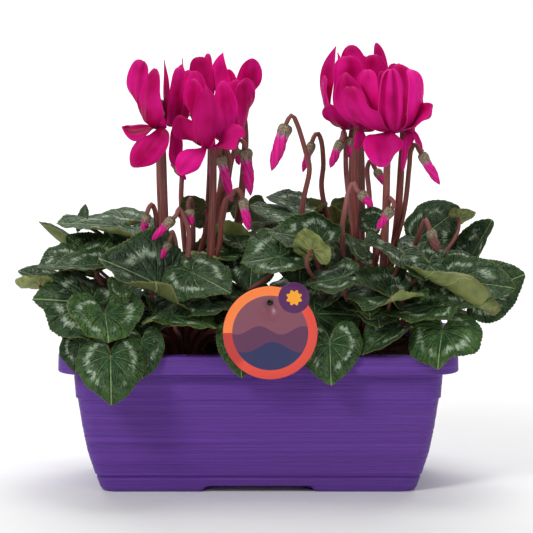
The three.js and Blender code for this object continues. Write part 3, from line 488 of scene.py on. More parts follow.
# half length, half depth and height
OUTER_WALL = np.array([
    (120.5, 45.5, 0), (122, 47, 3), (124.6, 49.4, 11), (123.6, 48.4, 11.8), (123.9, 48.7, 12.8),
    (125.6, 50.3, 13.4), (131, 55.4, 32), (134.8, 58.8, 52), (138, 61.4, 74.8), (139.4, 62.6, 76),
    (140.8, 63.6, 96),
])
BASE_ROUND = 1.6
INNER_LEVELS, FLOOR = (96, 75, 52, 32, 20, 8), 8
ARCH_HALF, ARCH_ROUND, FOOT = 43, 4.0, 5
GROOVE_DEPTH, GROOVE_WAVES = 0.17, range(2, 40)


def rounded_ring(half_length, half_depth, radius, z):
    """A rounded rectangle with points along its sides, so that the feet can be shaped on them."""
    corners, ring = [], []
    for corner, (sx, sy) in enumerate(((1, 1), (-1, 1), (-1, -1), (1, -1))):
        angle = (corner + np.arange(CORNER_STEPS + 1) / CORNER_STEPS) * math.pi / 2
        x = sx * (half_length - radius) + radius * np.cos(angle)
        corners.append(np.stack([x, sy * (half_depth - radius) + radius * np.sin(angle), z + 0 * x], axis=1))
    for corner, following, count in zip(corners, corners[1:] + corners[:1], SIDE_STEPS):
        a, b = corner[-1], following[0]
        ring += [*corner, *(a + (b - a) * i / count for i in range(1, count))]
    return np.array(ring)


def wall_at(z):
    return [np.interp(z, OUTER_WALL[:, 2], OUTER_WALL[:, k]) for k in (0, 1)]


def make_trough():
    levels = [0, 0.5, *range(1, 10), 9.8, 10.6, 11.2, 11.7, 12.2, 12.8, 13.1, 13.7]
    levels += [*np.arange(14.6, 74.2, 0.85), 74.5, 74.9, 75.3, 75.7, 76, 76.7]
    levels += [*np.arange(77.5, 95.6, 0.85), 96]
    top, skirt, plate = TROUGH_HEIGHT, TROUGH_HEIGHT - RIM_SKIRT, TROUGH_HEIGHT - 2.8
    rows = []
    for z in levels:
        inset = BASE_ROUND * (1 - math.sqrt(1 - (1 - z / BASE_ROUND) ** 2)) if z < BASE_ROUND else 0
        rows.append((*(half - inset for half in wall_at(z)), CORNER, z))
    rows.append((141, 63.8, CORNER, plate))
    # how far the rim stands in from its widest, the radius of its corners, and the height
    rim = [(2.4, 15, plate), (2.4, 15, skirt + 0.3), (2.1, 15, skirt), (0.6, 17, skirt),
           (0.1, 17, skirt + 0.5), (0, 17, skirt + 1), (0.4, 17, top - 1.4), (0.7, 17, top - 0.6),
           (1.2, 16.4, top - 0.15), (1.9, 16, top)]
    rows += [(RIM_HALF_LENGTH - inset, RIM_HALF_DEPTH - inset, radius, z) for inset, radius, z in rim]
    rows += [(139.4, 62.4, CORNER, top), (138.4, 61.4, CORNER - 1, top - 0.4)]
    rows.append((138.1, 61.1, CORNER - 1, top - 1.2))
    rows += [(*(half - WALL for half in wall_at(z)), CORNER - WALL, z) for z in INNER_LEVELS]
    rings = [rounded_ring(*row) for row in rows]
    # fine uneven grooves that run round the wall
    rng, turn = np.random.default_rng(12), around(len(rings[0]))
    wave = lambda k: rng.normal(0, 1) * np.sin(k * turn + rng.uniform(0, ANY_PHASE)) / k ** 0.35
    for z, ring in zip(levels, rings):
        waves = sum(wave(k) for k in GROOVE_WAVES)
        along = np.roll(ring, -1, axis=0) - np.roll(ring, 1, axis=0)
        outwards = unit(np.stack([along[:, 1], -along[:, 0], 0 * along[:, 0]], axis=1))
        grooved = 1 if 14 < z < 74.4 or 76.5 < z < 95 else 0.2
        depth = GROOVE_DEPTH * (rng.uniform(-1, 0.4) + 0.22 * waves) * grooved
        ring += outwards * np.clip(depth, -0.4, 0.15)[:, None]
    points = np.concatenate([*rings, [(0, 0, 0), (0, 0, FLOOR)]])
    # the raised middle of the base, arched through from front to back with rounded ends
    side = np.clip((ARCH_HALF - np.abs(points[:, 0])) / ARCH_ROUND, 0, 1)
    points[:, 2] = np.maximum(points[:, 2], FOOT * np.sqrt(1 - (1 - side) ** 2))
    build = Build()
    build.add(points, stack_faces(len(rings), len(turn)))
    build.piece("trough-shell", [TROUGH], "trough", ["trough"])


make_trough()


# Soil

SOIL_TOP, SOIL_FLOOR, SOIL_HALF = 101, 9, (137.6, 60.7)
CROWNS = {"left": vec(-58, 2, 96), "right": vec(80, 2, 96)}
CRUMB = np.array([(0, 0, 1), (0.94, 0, 0.1), (0.29, 0.9, 0.1), (-0.76, 0.55, 0.1), (-0.76, -0.55, 0.1),
                  (0.29, -0.9, 0.1), (0, 0, -0.8)])
CRUMB_FACES = [(0, i, i % 5 + 1) for i in range(1, 6)] + [(6, i % 5 + 1, i) for i in range(1, 6)]
CRUMB_FACES = padded(np.array(CRUMB_FACES))
CRUMBS, RIM_CRUMBS, FIBRES = 1500, 46, 90


def soil_height(x, y):
    waves = [(0.11, 0.05, 0.4), (0.05, -0.13, 1.9), (-0.21, 0.17, 3.1), (0.31, 0.23, 0.7), (0.43, -0.37, 5.0)]
    z = sum(math.e ** (-0.28 * i) * np.sin(a * x + b * y + c) for i, (a, b, c) in enumerate(waves))
    dip = sum(np.exp(-((x - c[0]) ** 2 + (y - c[1]) ** 2) / (2 * 26.0 ** 2)) for c in CROWNS.values())
    return SOIL_TOP + 0.5 * z - 2.2 * dip


def make_soil():
    build, rng = Build(), np.random.default_rng(5)
    rows, columns = 68, 150
    gx, gy = np.meshgrid(np.linspace(-1, 1, columns), np.linspace(-1, 1, rows))
    bend = 1 - 0.02 * (gx ** 8) * (gy ** 8)
    x, y = gx * SOIL_HALF[0] * bend, gy * SOIL_HALF[1] * bend
    z = soil_height(x, y) + rng.normal(0, 0.55, x.shape)
    z[1:-1, 1:-1] = 0.4 * z[1:-1, 1:-1] + 0.15 * (z[2:, 1:-1] + z[:-2, 1:-1] + z[1:-1, 2:] + z[1:-1, :-2])
    top = np.stack([x, y, z], axis=-1).reshape(-1, 3)
    shrink = [(wall - WALL - 1) / half for wall, half in zip(wall_at(SOIL_FLOOR), SOIL_HALF)]
    bottom = top * vec(*shrink, 0) + vec(0, 0, SOIL_FLOOR)
    build.add(np.concatenate([top, bottom]), sheet_faces(rows, columns))
    # crumbs and short fibres on the surface, and a few on the rim
    for _ in range(CRUMBS):
        cx, cy = rng.uniform(-133, 133), rng.uniform(-58, 58)
        size = rng.gamma(2.2, 0.42) + 0.35
        shape = CRUMB * rng.uniform(0.6, 1.25, (7, 1)) * size
        shape = shape * vec(1, rng.uniform(0.5, 1), rng.uniform(0.4, 0.9))
        turn = rng.uniform(0, ANY_PHASE)
        c, s = math.cos(turn), math.sin(turn)
        shape = shape @ np.array([[c, s, 0], [-s, c, 0], [0, 0, 1]])
        build.add(shape + vec(cx, cy, soil_height(cx, cy) + 0.35 * size), CRUMB_FACES)
    for _ in range(RIM_CRUMBS):
        cx, cy = rng.uniform(-150, 150), rng.choice([-1, 1]) * rng.uniform(63, 70.5)
        size = rng.gamma(2.0, 0.3) + 0.3
        shape = CRUMB * rng.uniform(0.6, 1.25, (7, 1)) * size * vec(1, 0.8, 0.5)
        build.add(shape + vec(cx, cy, TROUGH_HEIGHT + 0.25 * size), CRUMB_FACES)
    t = np.linspace(-0.5, 0.5, 6)
    for _ in range(FIBRES):
        cx, cy = rng.uniform(-130, 130), rng.uniform(-57, 57)
        heading, length, bend = rng.uniform(0, ANY_PHASE), rng.uniform(5, 14), rng.uniform(-0.3, 0.3)
        px = cx + length * (t * math.cos(heading) - bend * t * t * math.sin(heading))
        py = cy + length * (t * math.sin(heading) + bend * t * t * math.cos(heading))
        tube(build, np.stack([px, py, soil_height(px, py) + 0.9], axis=1), rng.uniform(0.18, 0.4), 5)
    build.piece("soil-bed", [SOIL], "soil", ["soil"])


make_soil()


# Leaves

# Degrees from the tip, and half widths from the stalk's end to the edge there
LEAF_OUTLINE = np.array([(0, 1.4), (12, 1.24), (28, 1.1), (55, 1.03), (90, 1), (118, 0.97), (142, 0.88),
                         (158, 0.66), (168, 0.34), (175, 0.12), (180, 0.08)])
USUAL_LONG = 1.4
COARSE_RING = 16
BLADE = 0.8
RAISE_STEP = 1.2
INNER_LEAVES, GOLDEN_TURN = 22, 0.618034

# Most rows of the leaves, blooms and buds aren't set by hand. Scratch programs worked them out from points
# picked in the photo by eye, as report.md says.

# Name, plant, where the stalk meets the blade (x, y, z), heading, pitch, roll, half width, length of the tip,
# cup, droop, lobe lift and how light the green is, partly the leaf's own tone and partly painted shade
LEAF_KEYS = ("heading", "pitch", "roll", "half", "long", "cup", "droop", "lobe", "shade")
LEAF_ROWS = table("""
hanging-inner-left left -88 -76 123 6 79 0 17 1.67 -0.01 0 -0.2 0.3
hanging-outer-left left -111 -93 115 3 62 3 26 1.47 -0.29 0.02 -0.6 0.45
behind-tag left -13 -77 127 3 80 0 19 1.59 -0.11 0 0 0.5
hanging-centre-right right 54 -76 122 8 79 4 25 1.27 -0.09 0 -0.3 0.4
dark-low-right right 103 -62 130 -57 20 -14 17 1.95 0.29 0.1 -0.07 0.35
hanging-outer-right right 139 -76 131 -13 46 6 29 1.1 -0.36 0.1 -0.18 0.7
flat-low-right right 134 -61 144 -100 6 -12 28 1.55 -0.02 0.05 0.12 0.5
large-left left -131 -46 147 -81 -9 -35 38 1.1 -0.13 0.05 0 0.2
front-left left -116 -66 142 8 28 1 29 1.16 0.27 0.05 0.4 0.75
flat-front-left left -64 -70 142 67 3 10 28 1.27 0.08 0.05 -0.14 0.8
pale-tip-far-left left -167 -34 159 -84 2 30 15 1.55 0.1 0 0 0.4
folded-far-left left -154 -8 156 -90 -17 -31 15 2.14 -0.09 0 0 0.3
flat-left left -147 -22 174 -76 1 -19 21 1.19 0.18 0 0 0.3
round-left left -131 8 175 -90 -40 -40 22 1.1 0.11 0 0.1 0.5
pointed-far-left left -132 26 171 -107 -19 -5 20 2.4 0 -0.1 0 0.15
dark-left left -77 -58 164 -74 -29 -33 38 1.34 0.49 0.02 0 0
below-tag-left left -38 -60 149 -30 8 -6 20 1.4 0 0 0.1 0.3
beside-dark-left left -50 -54 172 61 20 27 26 1.43 -0.11 0 0 0.35
two-lobed-centre left 15 -52 184 -68 6 -26 28 1.13 0.17 0.05 0.11 0.35
curled-centre left -47 -16 175 72 -18 20 21 1.61 -0.03 0.1 0 0.5
pale-under-centre left -26 14 169 1 -51 0 33 1.4 -0.09 0 0 0.6
long-upper-left left -106 12 197 -85 -4 -5 34 1.49 -0.01 0 0 0.3
back-upper-left left -102 44 194 -160 -15 -3 24 1.6 0.05 0.1 0 0.3
small-low-centre right 62 -64 170 -89 12 -16 24 1.32 0.04 0 0 0.35
silver-centre-right right 44 -56 142 114 3 48 29 1.46 -0.17 0.05 -0.12 0.45
folded-centre-right right 100 -60 155 -68 0 -4 34 1.1 0.12 0.05 0.23 0.3
behind-large-right right 172 -24 153 82 -23 66 25 1.42 -0.2 0 0 0.3
large-right right 152 -46 162 73 2 50 22 2.04 0.04 0.05 0 0.25
long-centre-right right 73 -20 170 -88 -54 -31 22 1.92 -0.03 0.05 0 0.15
left-of-centre right 43 -40 191 -99 -15 -24 24 1.57 0.17 0.1 0 0.2
lobe-over-centre right 31 0 207 -105 -15 -13 23 1.74 -0.05 0.1 0 0.3
pale-under-right right 59 36 187 -6 -55 0 14 2.27 -0.19 0 0 0.6
two-lobed-right right 110 -38 185 33 15 -8 32 1.11 0.02 0.1 0.35 0.2
upper-right right 125 4 190 134 -22 72 20 2.4 0.01 0 0 0.2
pointed-far-right right 162 12 169 88 -62 28 21 1.87 0.23 0 0 0.1
back-centre left -8 42 208 165 46 8 22 1.4 0 0.1 0 0.12
back-right right 57 48 202 150 50 -8 25 1.4 0 0.1 0 0.4
""")
# Small leaves that the plain solids leave out; the low green value of the shaded ones is painted shade
SMALL_LEAF_ROWS = table("""
curled-front-left left -104 -56 161 10 40 0 11 1.3 0.5 0 0.4 0.9
round-far-left left -128 -12 174 132 -39 6 22 1.16 0.07 0 0 0.5
top-right right 79 -40 185 -126 -46 0 11 1.65 0.03 0 0.1 0.4
dark-behind-right right 89 -14 205 -114 -24 -46 12 1.34 0.05 0 -0.02 0.1
shaded-right right 155 -20 174 -90 -12 -39 14 1.42 -0.2 0 0 0.1
shaded-left left -135 -70 120 -20 60 0 16 1.4 0 0 0 0.1
rolled-right right 130 -52 177 67 42 10 28 2.33 -0.03 0 0 0.2
low-back-centre right 30 18 212 -77 -28 -29 16 1.58 0.09 0.1 -0.01 0.1
shaded-centre right 12 -6 199 100 2 4 24 1.4 0 0 0 0
edge-back-right right 40 6 203 60 -44 0 15 1.4 0 0 0 0.35
under-back-left left -41 20 211 -165 40 0 22 1.4 0 0 0 0
grey-centre left -17 -4 191 12 12 0 16 1.4 0 0 0 0.2
boat-left left -125 -30 174 -77 -1 -17 18 1.78 0.26 0 0 0.3
silver-right right 102 -44 153 -66 -31 -36 22 1.74 0.38 0 -0.2 0.3
tab-right right 155 24 202 92 -15 -50 10 1.43 0.07 0 0 0.35
pale-flap-centre right 41 -66 192 -38 -66 0 17 1.25 -0.1 0 0 0.6
shaded-behind-centre right 31 -8 180 4 55 0 22 1.4 0 0.1 0.1 0.15
shaded-behind-right right 134 -30 169 8 55 0 20 1.4 0 0.1 0.1 0.15
shaded-behind-left left -101 2 190 -8 50 0 19 1.4 0 0.1 0.1 0.15
shaded-low-centre left -5 -20 175 -6 55 0 20 1.4 0 0.1 0.1 0.15
spike-left left -137 22 197 165 -60 -39 8 2.19 0.06 0 0.1 0.5
""")


def spread_of(seed):
    """Seeded draws between a low and a high value."""
    state = [seed]

    def spread(low, high):
        state[0] = (state[0] * 16807) % 2147483647
        return low + (high - low) * (state[0] / 2147483647)

    return spread


def back_leaf_rows():
    spread, rows = spread_of(20), []
    for plant, crown in CROWNS.items():
        for i, turn in enumerate((140, 180, 220)):
            heading = turn + spread(-8, 8)
            reach, angle = spread(62, 74), math.radians(heading)
            place = (crown[0] + reach * math.sin(angle) * 1.1, -reach * math.cos(angle), spread(133, 165))
            pitch, roll, half = spread(20, 45), spread(-10, 10), spread(25, 29)
            form = heading, pitch, roll, half, USUAL_LONG, 0, 0.1, 0.1
            rows.append((f"rear-{plant}-{i + 1}", plant, *place, *form, 0.3))
    return rows


def inner_leaf_rows():
    """Leaves that fill each plant under its outer ones, with a low green value as painted shade."""
    spread, rows = spread_of(77), []
    for plant, crown in CROWNS.items():
        for i in range(INNER_LEAVES):
            heading = 360 * (i * GOLDEN_TURN % 1) + spread(-12, 12)
            angle, reach = math.radians(heading), spread(34, 64)
            place = (crown[0] + reach * math.sin(angle) * 1.15, 2 - reach * math.cos(angle) * 0.85,
                     181 - 0.62 * reach + spread(-16, 6))
            pitch, roll, half = spread(0, 34), spread(-16, 16), spread(18, 25)
            form = heading, pitch, roll, half, 1.45, 0, 0.1, 0.1
            rows.append((f"{plant}-{i + 1}", plant, *place, *form, spread(0, 0.35)))
    return rows


def leaf_record(prefix, row):
    name, plant, *numbers = row
    form = dict(zip(LEAF_KEYS, numbers[3:]))
    return {"name": prefix + name, "plant": plant, "place": vec(*numbers[:3]), **form}


def leaf_reach(angle, long, fine):
    """Distance from the stalk's end to the edge, in half widths, at an angle in degrees from the tip."""
    turn = np.abs(angle)
    outline = lambda at: np.interp(at, LEAF_OUTLINE[:, 0], LEAF_OUTLINE[:, 1])
    reach = outline(turn)
    if fine:
        near = [outline(np.clip(np.abs(turn + d), 0, 180)) for d in (-7, -3.5, 3.5, 7)]
        blend = smooth(4, 16, turn) * smooth(0, 8, 176 - turn)
        reach = reach * (1 - blend) + blend * (0.25 * reach + 0.1875 * sum(near))
    forward = np.maximum(0, np.cos(np.radians(turn)))
    return reach * (1 + (long / USUAL_LONG - 1) * forward ** 2)


def leaf_height(forward, side, reach, leaf):
    ahead, behind = np.maximum(0, forward), np.maximum(0, -forward)
    wave = 0.05 * reach ** 3 * np.sin(5 * np.arctan2(side, forward) + leaf["heading"])
    return leaf["cup"] * side ** 2 - leaf["droop"] * ahead ** 2 + leaf["lobe"] * behind ** 2 + wave


# Rims rolled over: direction in the blade from its tip in degrees, where the roll starts and its radius,
# both in half widths, and whether it rolls up or down
ROLLED = {
    "leaf-curled-centre": (-85, 0.35, 0.22, 1),
    "leaf-left-of-centre": (-90, 0.1, 0.35, 1),
    "leaf-dark-left": (70, 0.6, 0.55, 1),
    "leaf-long-upper-left": (90, 0.7, 0.2, 1),
    "leaf-folded-far-left": (80, 0.4, 0.3, 1),
    "leaf-folded-centre-right": (85, 0.76, 0.14, 1),
    "leaf-pale-tip-far-left": (20, 0.6, 0.5, 1),
    "leaf-upper-right": (-90, 0.6, 0.6, 1),
    "leaf-pointed-far-right": (70, 0.4, 0.4, 1),
    "leaf-pointed-far-left": (80, 0.4, 0.4, 1),
    "leaf-large-right": (110, 0.6, 0.6, 1),
    "leaf-two-lobed-right": (-30, 0.8, 0.4, -1),
    "leaf-flat-low-right": (-80, 0.5, 0.4, 1),
    "leaf-behind-large-right": (60, 0.8, 0.5, -1),
    "small-leaf-rolled-right": (-62, 0.52, 0.24, 1),
}
MOST_WOUND = 2.6  # radians


def rolled(local, roll):
    """Blade points with the part beyond a line wound onto a cylinder."""
    turn, start, radius, way = roll
    f, s = math.cos(math.radians(turn)), math.sin(math.radians(turn))
    ahead = local[..., 0] * f + local[..., 1] * s
    wound = np.clip((ahead - start) / radius, 0, MOST_WOUND)
    past = np.maximum(0, ahead - start - MOST_WOUND * radius)
    shift = radius * np.sin(wound) + past * math.cos(MOST_WOUND) - np.maximum(0, ahead - start)
    lift = way * (radius * (1 - np.cos(wound)) + past * math.sin(MOST_WOUND))
    return local + np.stack([shift * f, shift * s, lift], axis=-1)


def leaf_axes(leaf):
    """Directions of the blade's tip, side and face."""
    h, p = math.radians(leaf["heading"]), math.radians(leaf["pitch"])
    tip = vec(math.sin(h) * math.cos(p), -math.cos(h) * math.cos(p), -math.sin(p))
    up = vec(math.sin(h) * math.sin(p), -math.cos(h) * math.sin(p), math.cos(p))
    side = rotated(np.cross(up, tip), tip, leaf["roll"])
    return tip, side, np.cross(tip, side)


def coarse_centre(leaf):
    """The middle of the plain solid's box, if it were not moved along its face."""
    step = 360 / COARSE_RING
    inner = [(0.55, (2 * i + 1) * step - 180) for i in range(COARSE_RING // 2)]
    outer = [(1.02 if i % 2 else 0.97, i * step - 180) for i in range(COARSE_RING)]
    reach, angle = np.array(inner + outer).T
    edge = reach * leaf_reach(angle, leaf["long"], False)
    f, s = edge * np.cos(np.radians(angle)), edge * np.sin(np.radians(angle))
    local = leaf["half"] * np.stack([f, s, leaf_height(f, s, reach, leaf)], axis=1)
    points = np.concatenate([[leaf["place"]], leaf["place"] + local @ np.array(leaf_axes(leaf))])
    return (points.max(0) + points.min(0)) / 2


def settled(leaf):
    """The leaf with its place moved along its face, as read from its node's box."""
    low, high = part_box(leaf["name"])
    centre = (np.array(low) + np.array(high)) / 2 / MM - TROUGH_AT
    face = leaf_axes(leaf)[2]
    moved = np.dot(centre - coarse_centre(leaf), face)
    return {**leaf, "place": leaf["place"] + face * round(moved / RAISE_STEP) * RAISE_STEP}


# Shares of the way from the leaf stalk to the edge, and points on a ring
LEAF_GRIDS = {
    "leaf": (np.array([0.06, 0.16, 0.27, 0.38, 0.49, 0.6, 0.7, 0.8, 0.88, 0.95, 1.0]), 168),
    "small": (np.array([0.08, 0.22, 0.36, 0.5, 0.64, 0.78, 0.9, 1.0]), 128),
    "inner": (np.array([0.15, 0.35, 0.55, 0.74, 0.9, 1.0]), 80),
}


def grid_normals(points):
    return unit(np.cross(np.gradient(points, axis=0), np.gradient(points, axis=1)))


def make_leaf(leaf, index):
    rng = np.random.default_rng(100 + index)
    steps, columns = LEAF_GRIDS[leaf["name"].split("-")[0]]
    rows, rings = len(steps), steps[:, None]
    degrees = np.linspace(-180, 180, columns)
    turn, (tip, side, face) = np.radians(degrees), leaf_axes(leaf)
    teeth = int(30 + leaf["half"] * 1.1)
    phase, swing = rng.uniform(0, ANY_PHASE), rng.uniform(0, ANY_PHASE, 5)
    tooth = np.abs(np.sin(teeth * turn / 2 + phase)) ** 1.5
    tooth = (tooth - 0.5) * 0.028 * smooth(8, 20, 180 - np.abs(degrees))
    uneven = 1 + 0.02 * np.sin(3 * turn + phase) + 0.012 * np.sin(7 * turn + 2 * phase)
    grow = rings * (leaf_reach(degrees, leaf["long"], True) * uneven + tooth * smooth(0.8, 1.0, rings))
    forward, across = grow * np.cos(turn), grow * np.sin(turn)
    height = (leaf_height(forward, across, rings, leaf)
              + 0.022 * rings ** 4 * np.sin(11 * turn + phase) + 0.012 * np.sin(23 * turn) * rings ** 6
              + rings ** 2 * (0.06 * np.sin(2 * turn + swing[0]) + 0.045 * np.sin(3 * turn + swing[1]))
              + 0.03 * rings ** 3 * np.sin(7 * turn + swing[2]) + 0.05 * rings * np.abs(across)
              + 0.03 * np.sin(math.pi * (np.abs(turn) / VEIN_SPREAD % 1.0)) * np.sin(math.pi * rings) ** 0.7)
    local = np.stack([forward, across, height], axis=-1)
    uv = np.concatenate([(0.5 + local[..., :2] / LEAF_UV).reshape(-1, 2), [[0.5, 0.5]]])
    if leaf["name"] in ROLLED:
        local = rolled(local, ROLLED[leaf["name"]])
    points = leaf["place"] + leaf["half"] * local @ np.array([tip, side, face])
    normals = grid_normals(points).reshape(-1, 3)
    if np.dot(normals.mean(0), face) < 0:
        normals = -normals
    # the two sides, each with the stalk's end as its last point
    offset = np.concatenate([normals * np.repeat(BLADE / 2 * (1 - 0.55 * steps ** 3), columns)[:, None],
                             [face * BLADE / 2]])
    middle = np.concatenate([points.reshape(-1, 3), [leaf["place"]]])
    n, ring = len(middle), np.arange(columns - 1)
    tint = np.stack([[*np.repeat(steps, columns), 0.0], np.full(n, leaf["shade"])], axis=1)
    # angle grows counter-clockwise seen along the face, so outer rows come before the next angle
    fan = np.stack([np.full(columns - 1, n - 1), ring, ring + 1], axis=1)
    top = np.concatenate([grid_faces(rows, columns, False)[:, ::-1], padded(fan)])
    under = np.where(top < 0, -1, top + n)[:, ::-1]
    edge = np.concatenate([[n - 1], np.arange(rows) * columns + columns - 1, n - 3 - ring,
                           np.arange(rows - 2, -1, -1) * columns])
    after = np.roll(edge, -1)
    band = np.stack([edge, after, after + n, edge + n], axis=1)
    slots = np.repeat([0, 1, 0], [len(top), len(under), len(band)])
    build = Build()
    build.add(np.concatenate([middle + offset, middle - offset]), np.concatenate([top, under, band]),
              np.tile(uv, (2, 1)), np.tile(tint, (2, 1)), slots)
    large = leaf["name"].startswith("leaf-")
    name = leaf["name"].replace("leaf-", "blade-", 1) if large else leaf["name"]
    build.piece(name, [LEAF_TOP, LEAF_UNDER], "leaf", [leaf["name"]] if large else ())


LEAVES = [settled(leaf_record("leaf-", row)) for row in LEAF_ROWS + back_leaf_rows()]
SMALL_LEAVES = [leaf_record("small-leaf-", row) for row in SMALL_LEAF_ROWS]
SMALL_LEAVES += [leaf_record("inner-leaf-", row) for row in inner_leaf_rows()]
for number, leaf in enumerate(LEAVES + SMALL_LEAVES):
    make_leaf(leaf, number)


# Blooms

TUBE_RADIUS, TUBE_LENGTH = 5.5, 8
TUBE_ROWS = [(-1.6, 3.9), (-1.2, 5.0), (-0.4, 5.4), (1.4, 5.3), (3.2, 5.1), (5, 4.9), (6.6, 4.4),
             (TUBE_LENGTH, 3.8)]
PETAL_THICKNESS, PETAL_WIDEST = 0.7, 0.6
# A bloom's name, plant and mouth (x, y, z). Then for each petal the side it leaves from, the side it faces,
# twist, tip (x, y, z), bow, sag, width, cup, taper and, for one, the height of its folds.
BLOOM_TABLE = """
bloom-left-1 left -75 -38 282
-123 -2 -10 -88 -48 334 18 7 17 0.16 0.37
-29 -26 -11 -78 -54 329 18 -9 23 0.28 0.51
100 110 10 -71 -38 333 3 0 9 0.12 1.2
-65 -80 -12 -103 -50 283 3 -9 25 0.1 0.77
12 14 28 -95 -58 254 18 5 24 -0.12 0.57
bloom-left-2 left -65 -10 280
5 34 11 -61 -26 326 8 2 17 0.16 0.35
150 110 0 -58 -4 330 8 0 11 0.1 1
92 16 4 -48 -8 321 8 0 20 0.16 0.39
14 19 -1 -63 -20 249 5 -4 11 0.1 0.63
62 24 24 -55 -30 302 9 2 21 0.14 0.6
bloom-left-3 left -38 -46 268
-112 -2 -29 -46 -50 319 10 9 21 0.3 0.69
-6 -45 35 -39 -58 316 12 6 21 0.3 1.28
80 84 62 -12 -52 275 8 9 22 0.12 1.25
-30 0 0 -61 -60 249 6 2 18 -0.1 0.7
-120 -40 22 -61 -46 292 7 -3 21 0.1 0.7
bloom-left-4 left -24 -14 267
78 9 49 -13 -22 315 12 9 24 0.16 0.35
8 3 11 -27 -36 317 9 0 18 0.16 0.62
-75 41 -11 -36 -14 238 4 -5 10 0.1 0.69
150 150 10 -17 10 305 9 0 19 0.16 0.5
-120 -120 -10 -40 2 302 9 0 18 0.16 0.5
bloom-left-5 left -16 28 280
100 -7 26 -5 20 327 2 9 21 0.16 0.62
-75 -12 -12 -27 16 332 12 9 18 0.18 1.37
15 12 0 -18 8 312 9 0 18 0.16 0.5
198 141 5 -23 42 316 11 -1 17 0.16 0.47
-115 -115 10 -34 36 321 9 0 18 0.16 0.6
bloom-left-6 left -48 38 280
18 -11 7 -46 24 328 10 3 20 0.2 0.35
26 43 -5 -38 36 329 5 0 12 0.16 0.4
-75 -40 10 -59 32 321 9 0 17 0.1 0.9
-45 -20 0 -54 22 318 9 0 16 0.16 0.5
170 170 -10 -46 56 318 9 0 18 0.16 0.5
bloom-right-1 right 68 2 276
-91 -33 -12 59 2 339 18 0 15 0.16 1.12
11 9 11 67 -14 333 6 9 25 0.2 0.35
-115 -37 -20 52 -16 316 14 6 12 0.16 0.35
-10 -35 3 52 -26 297 15 1 20 0.16 0.35
150 150 -10 61 18 332 9 0 9 0.16 1.1
bloom-right-2 right 83 -24 278
-21 -24 9 68 -40 324 18 -4 25 0.2 0.79
-8 -15 -14 82 -32 325 9 0 22 0.18 0.35
60 30 8 94 -18 322 9 0 18 0.16 0.5
-50 49 -6 76 -22 262 2 -4 11 0.1 0.88
165 165 -10 81 -6 317 9 0 18 0.16 0.5
bloom-right-3 right 102 -46 280
-53 -70 33 71 -60 316 18 -9 26 0.26 0.35
-1 23 4 99 -60 329 7 -3 24 0.2 0.35 0.3
71 39 18 114 -36 326 18 9 24 0.18 0.35
96 57 38 132 -46 299 7 6 29 0.14 0.95
-37 1 -22 94 -60 254 4 9 30 -0.14 0.4
bloom-right-4 right 83 34 280
-16 -12 8 72 26 337 8 2 23 0.18 0.48
28 -1 -11 86 20 330 7 0 27 0.18 0.35
74 28 -1 91 32 338 12 1 13 0.14 0.62
165 165 10 81 52 326 9 0 18 0.16 0.5
-115 -115 -10 67 42 323 9 0 17 0.16 0.5
bloom-right-5 right 115 6 273
-6 19 -3 110 2 325 16 9 27 0.16 0.35
18 49 -14 111 -6 243 5 1 13 -0.1 0.35
50 54 -5 127 4 258 2 -7 9 0.1 0.9
150 150 10 117 22 312 9 0 18 0.16 0.5
-105 -100 -10 106 14 313 9 0 18 0.16 0.5
"""
# How dark some petals are painted, 0 to 1: painted shade for petals in shadow, none for lit ones
PETAL_PAINTED_SHADE = {
    "bloom-left-1": {1: 0.8},
    "bloom-left-2": {0: 0.0},
    "bloom-left-3": {0: 0.0, 1: 1.0, 2: 0.9, 3: 0.4, 4: 0.7},
    "bloom-left-4": {0: 0.6, 1: 0.2},
    "bloom-right-1": {0: 0.8, 3: 0.9},
    "bloom-right-3": {0: 0.7, 1: 0.4, 2: 0.0, 3: 0.9, 4: 0.5},
}


def petal_curve(mouth, azimuth, tip, bow, sag, t):
    """Points along a petal from the rim of the flower's tube to its tip, and the directions there."""
    out = outward(azimuth)
    root = mouth + out * (TUBE_RADIUS - 1.5)
    first = root + out * bow
    second = tip + (first - tip) * 0.38 + out * 0.35 * bow + UP * sag
    t = t[:, None]
    along = (1 - t) ** 2 * (first - root) + 2 * t * (1 - t) * (second - first) + t ** 2 * (tip - second)
    return bezier(t, root, first, second, tip), unit(along)


def petal_half_width(width, taper, t):
    rise, fall = np.minimum(1, t / PETAL_WIDEST), np.maximum(0, (t - PETAL_WIDEST) / (1 - PETAL_WIDEST))
    root = 0.2 + 0.8 * np.sin(rise * math.pi / 2) ** 1.25
    return np.maximum(width / 2 * root * np.maximum(0.0, 1 - fall ** 2.2) ** taper, 0.35)


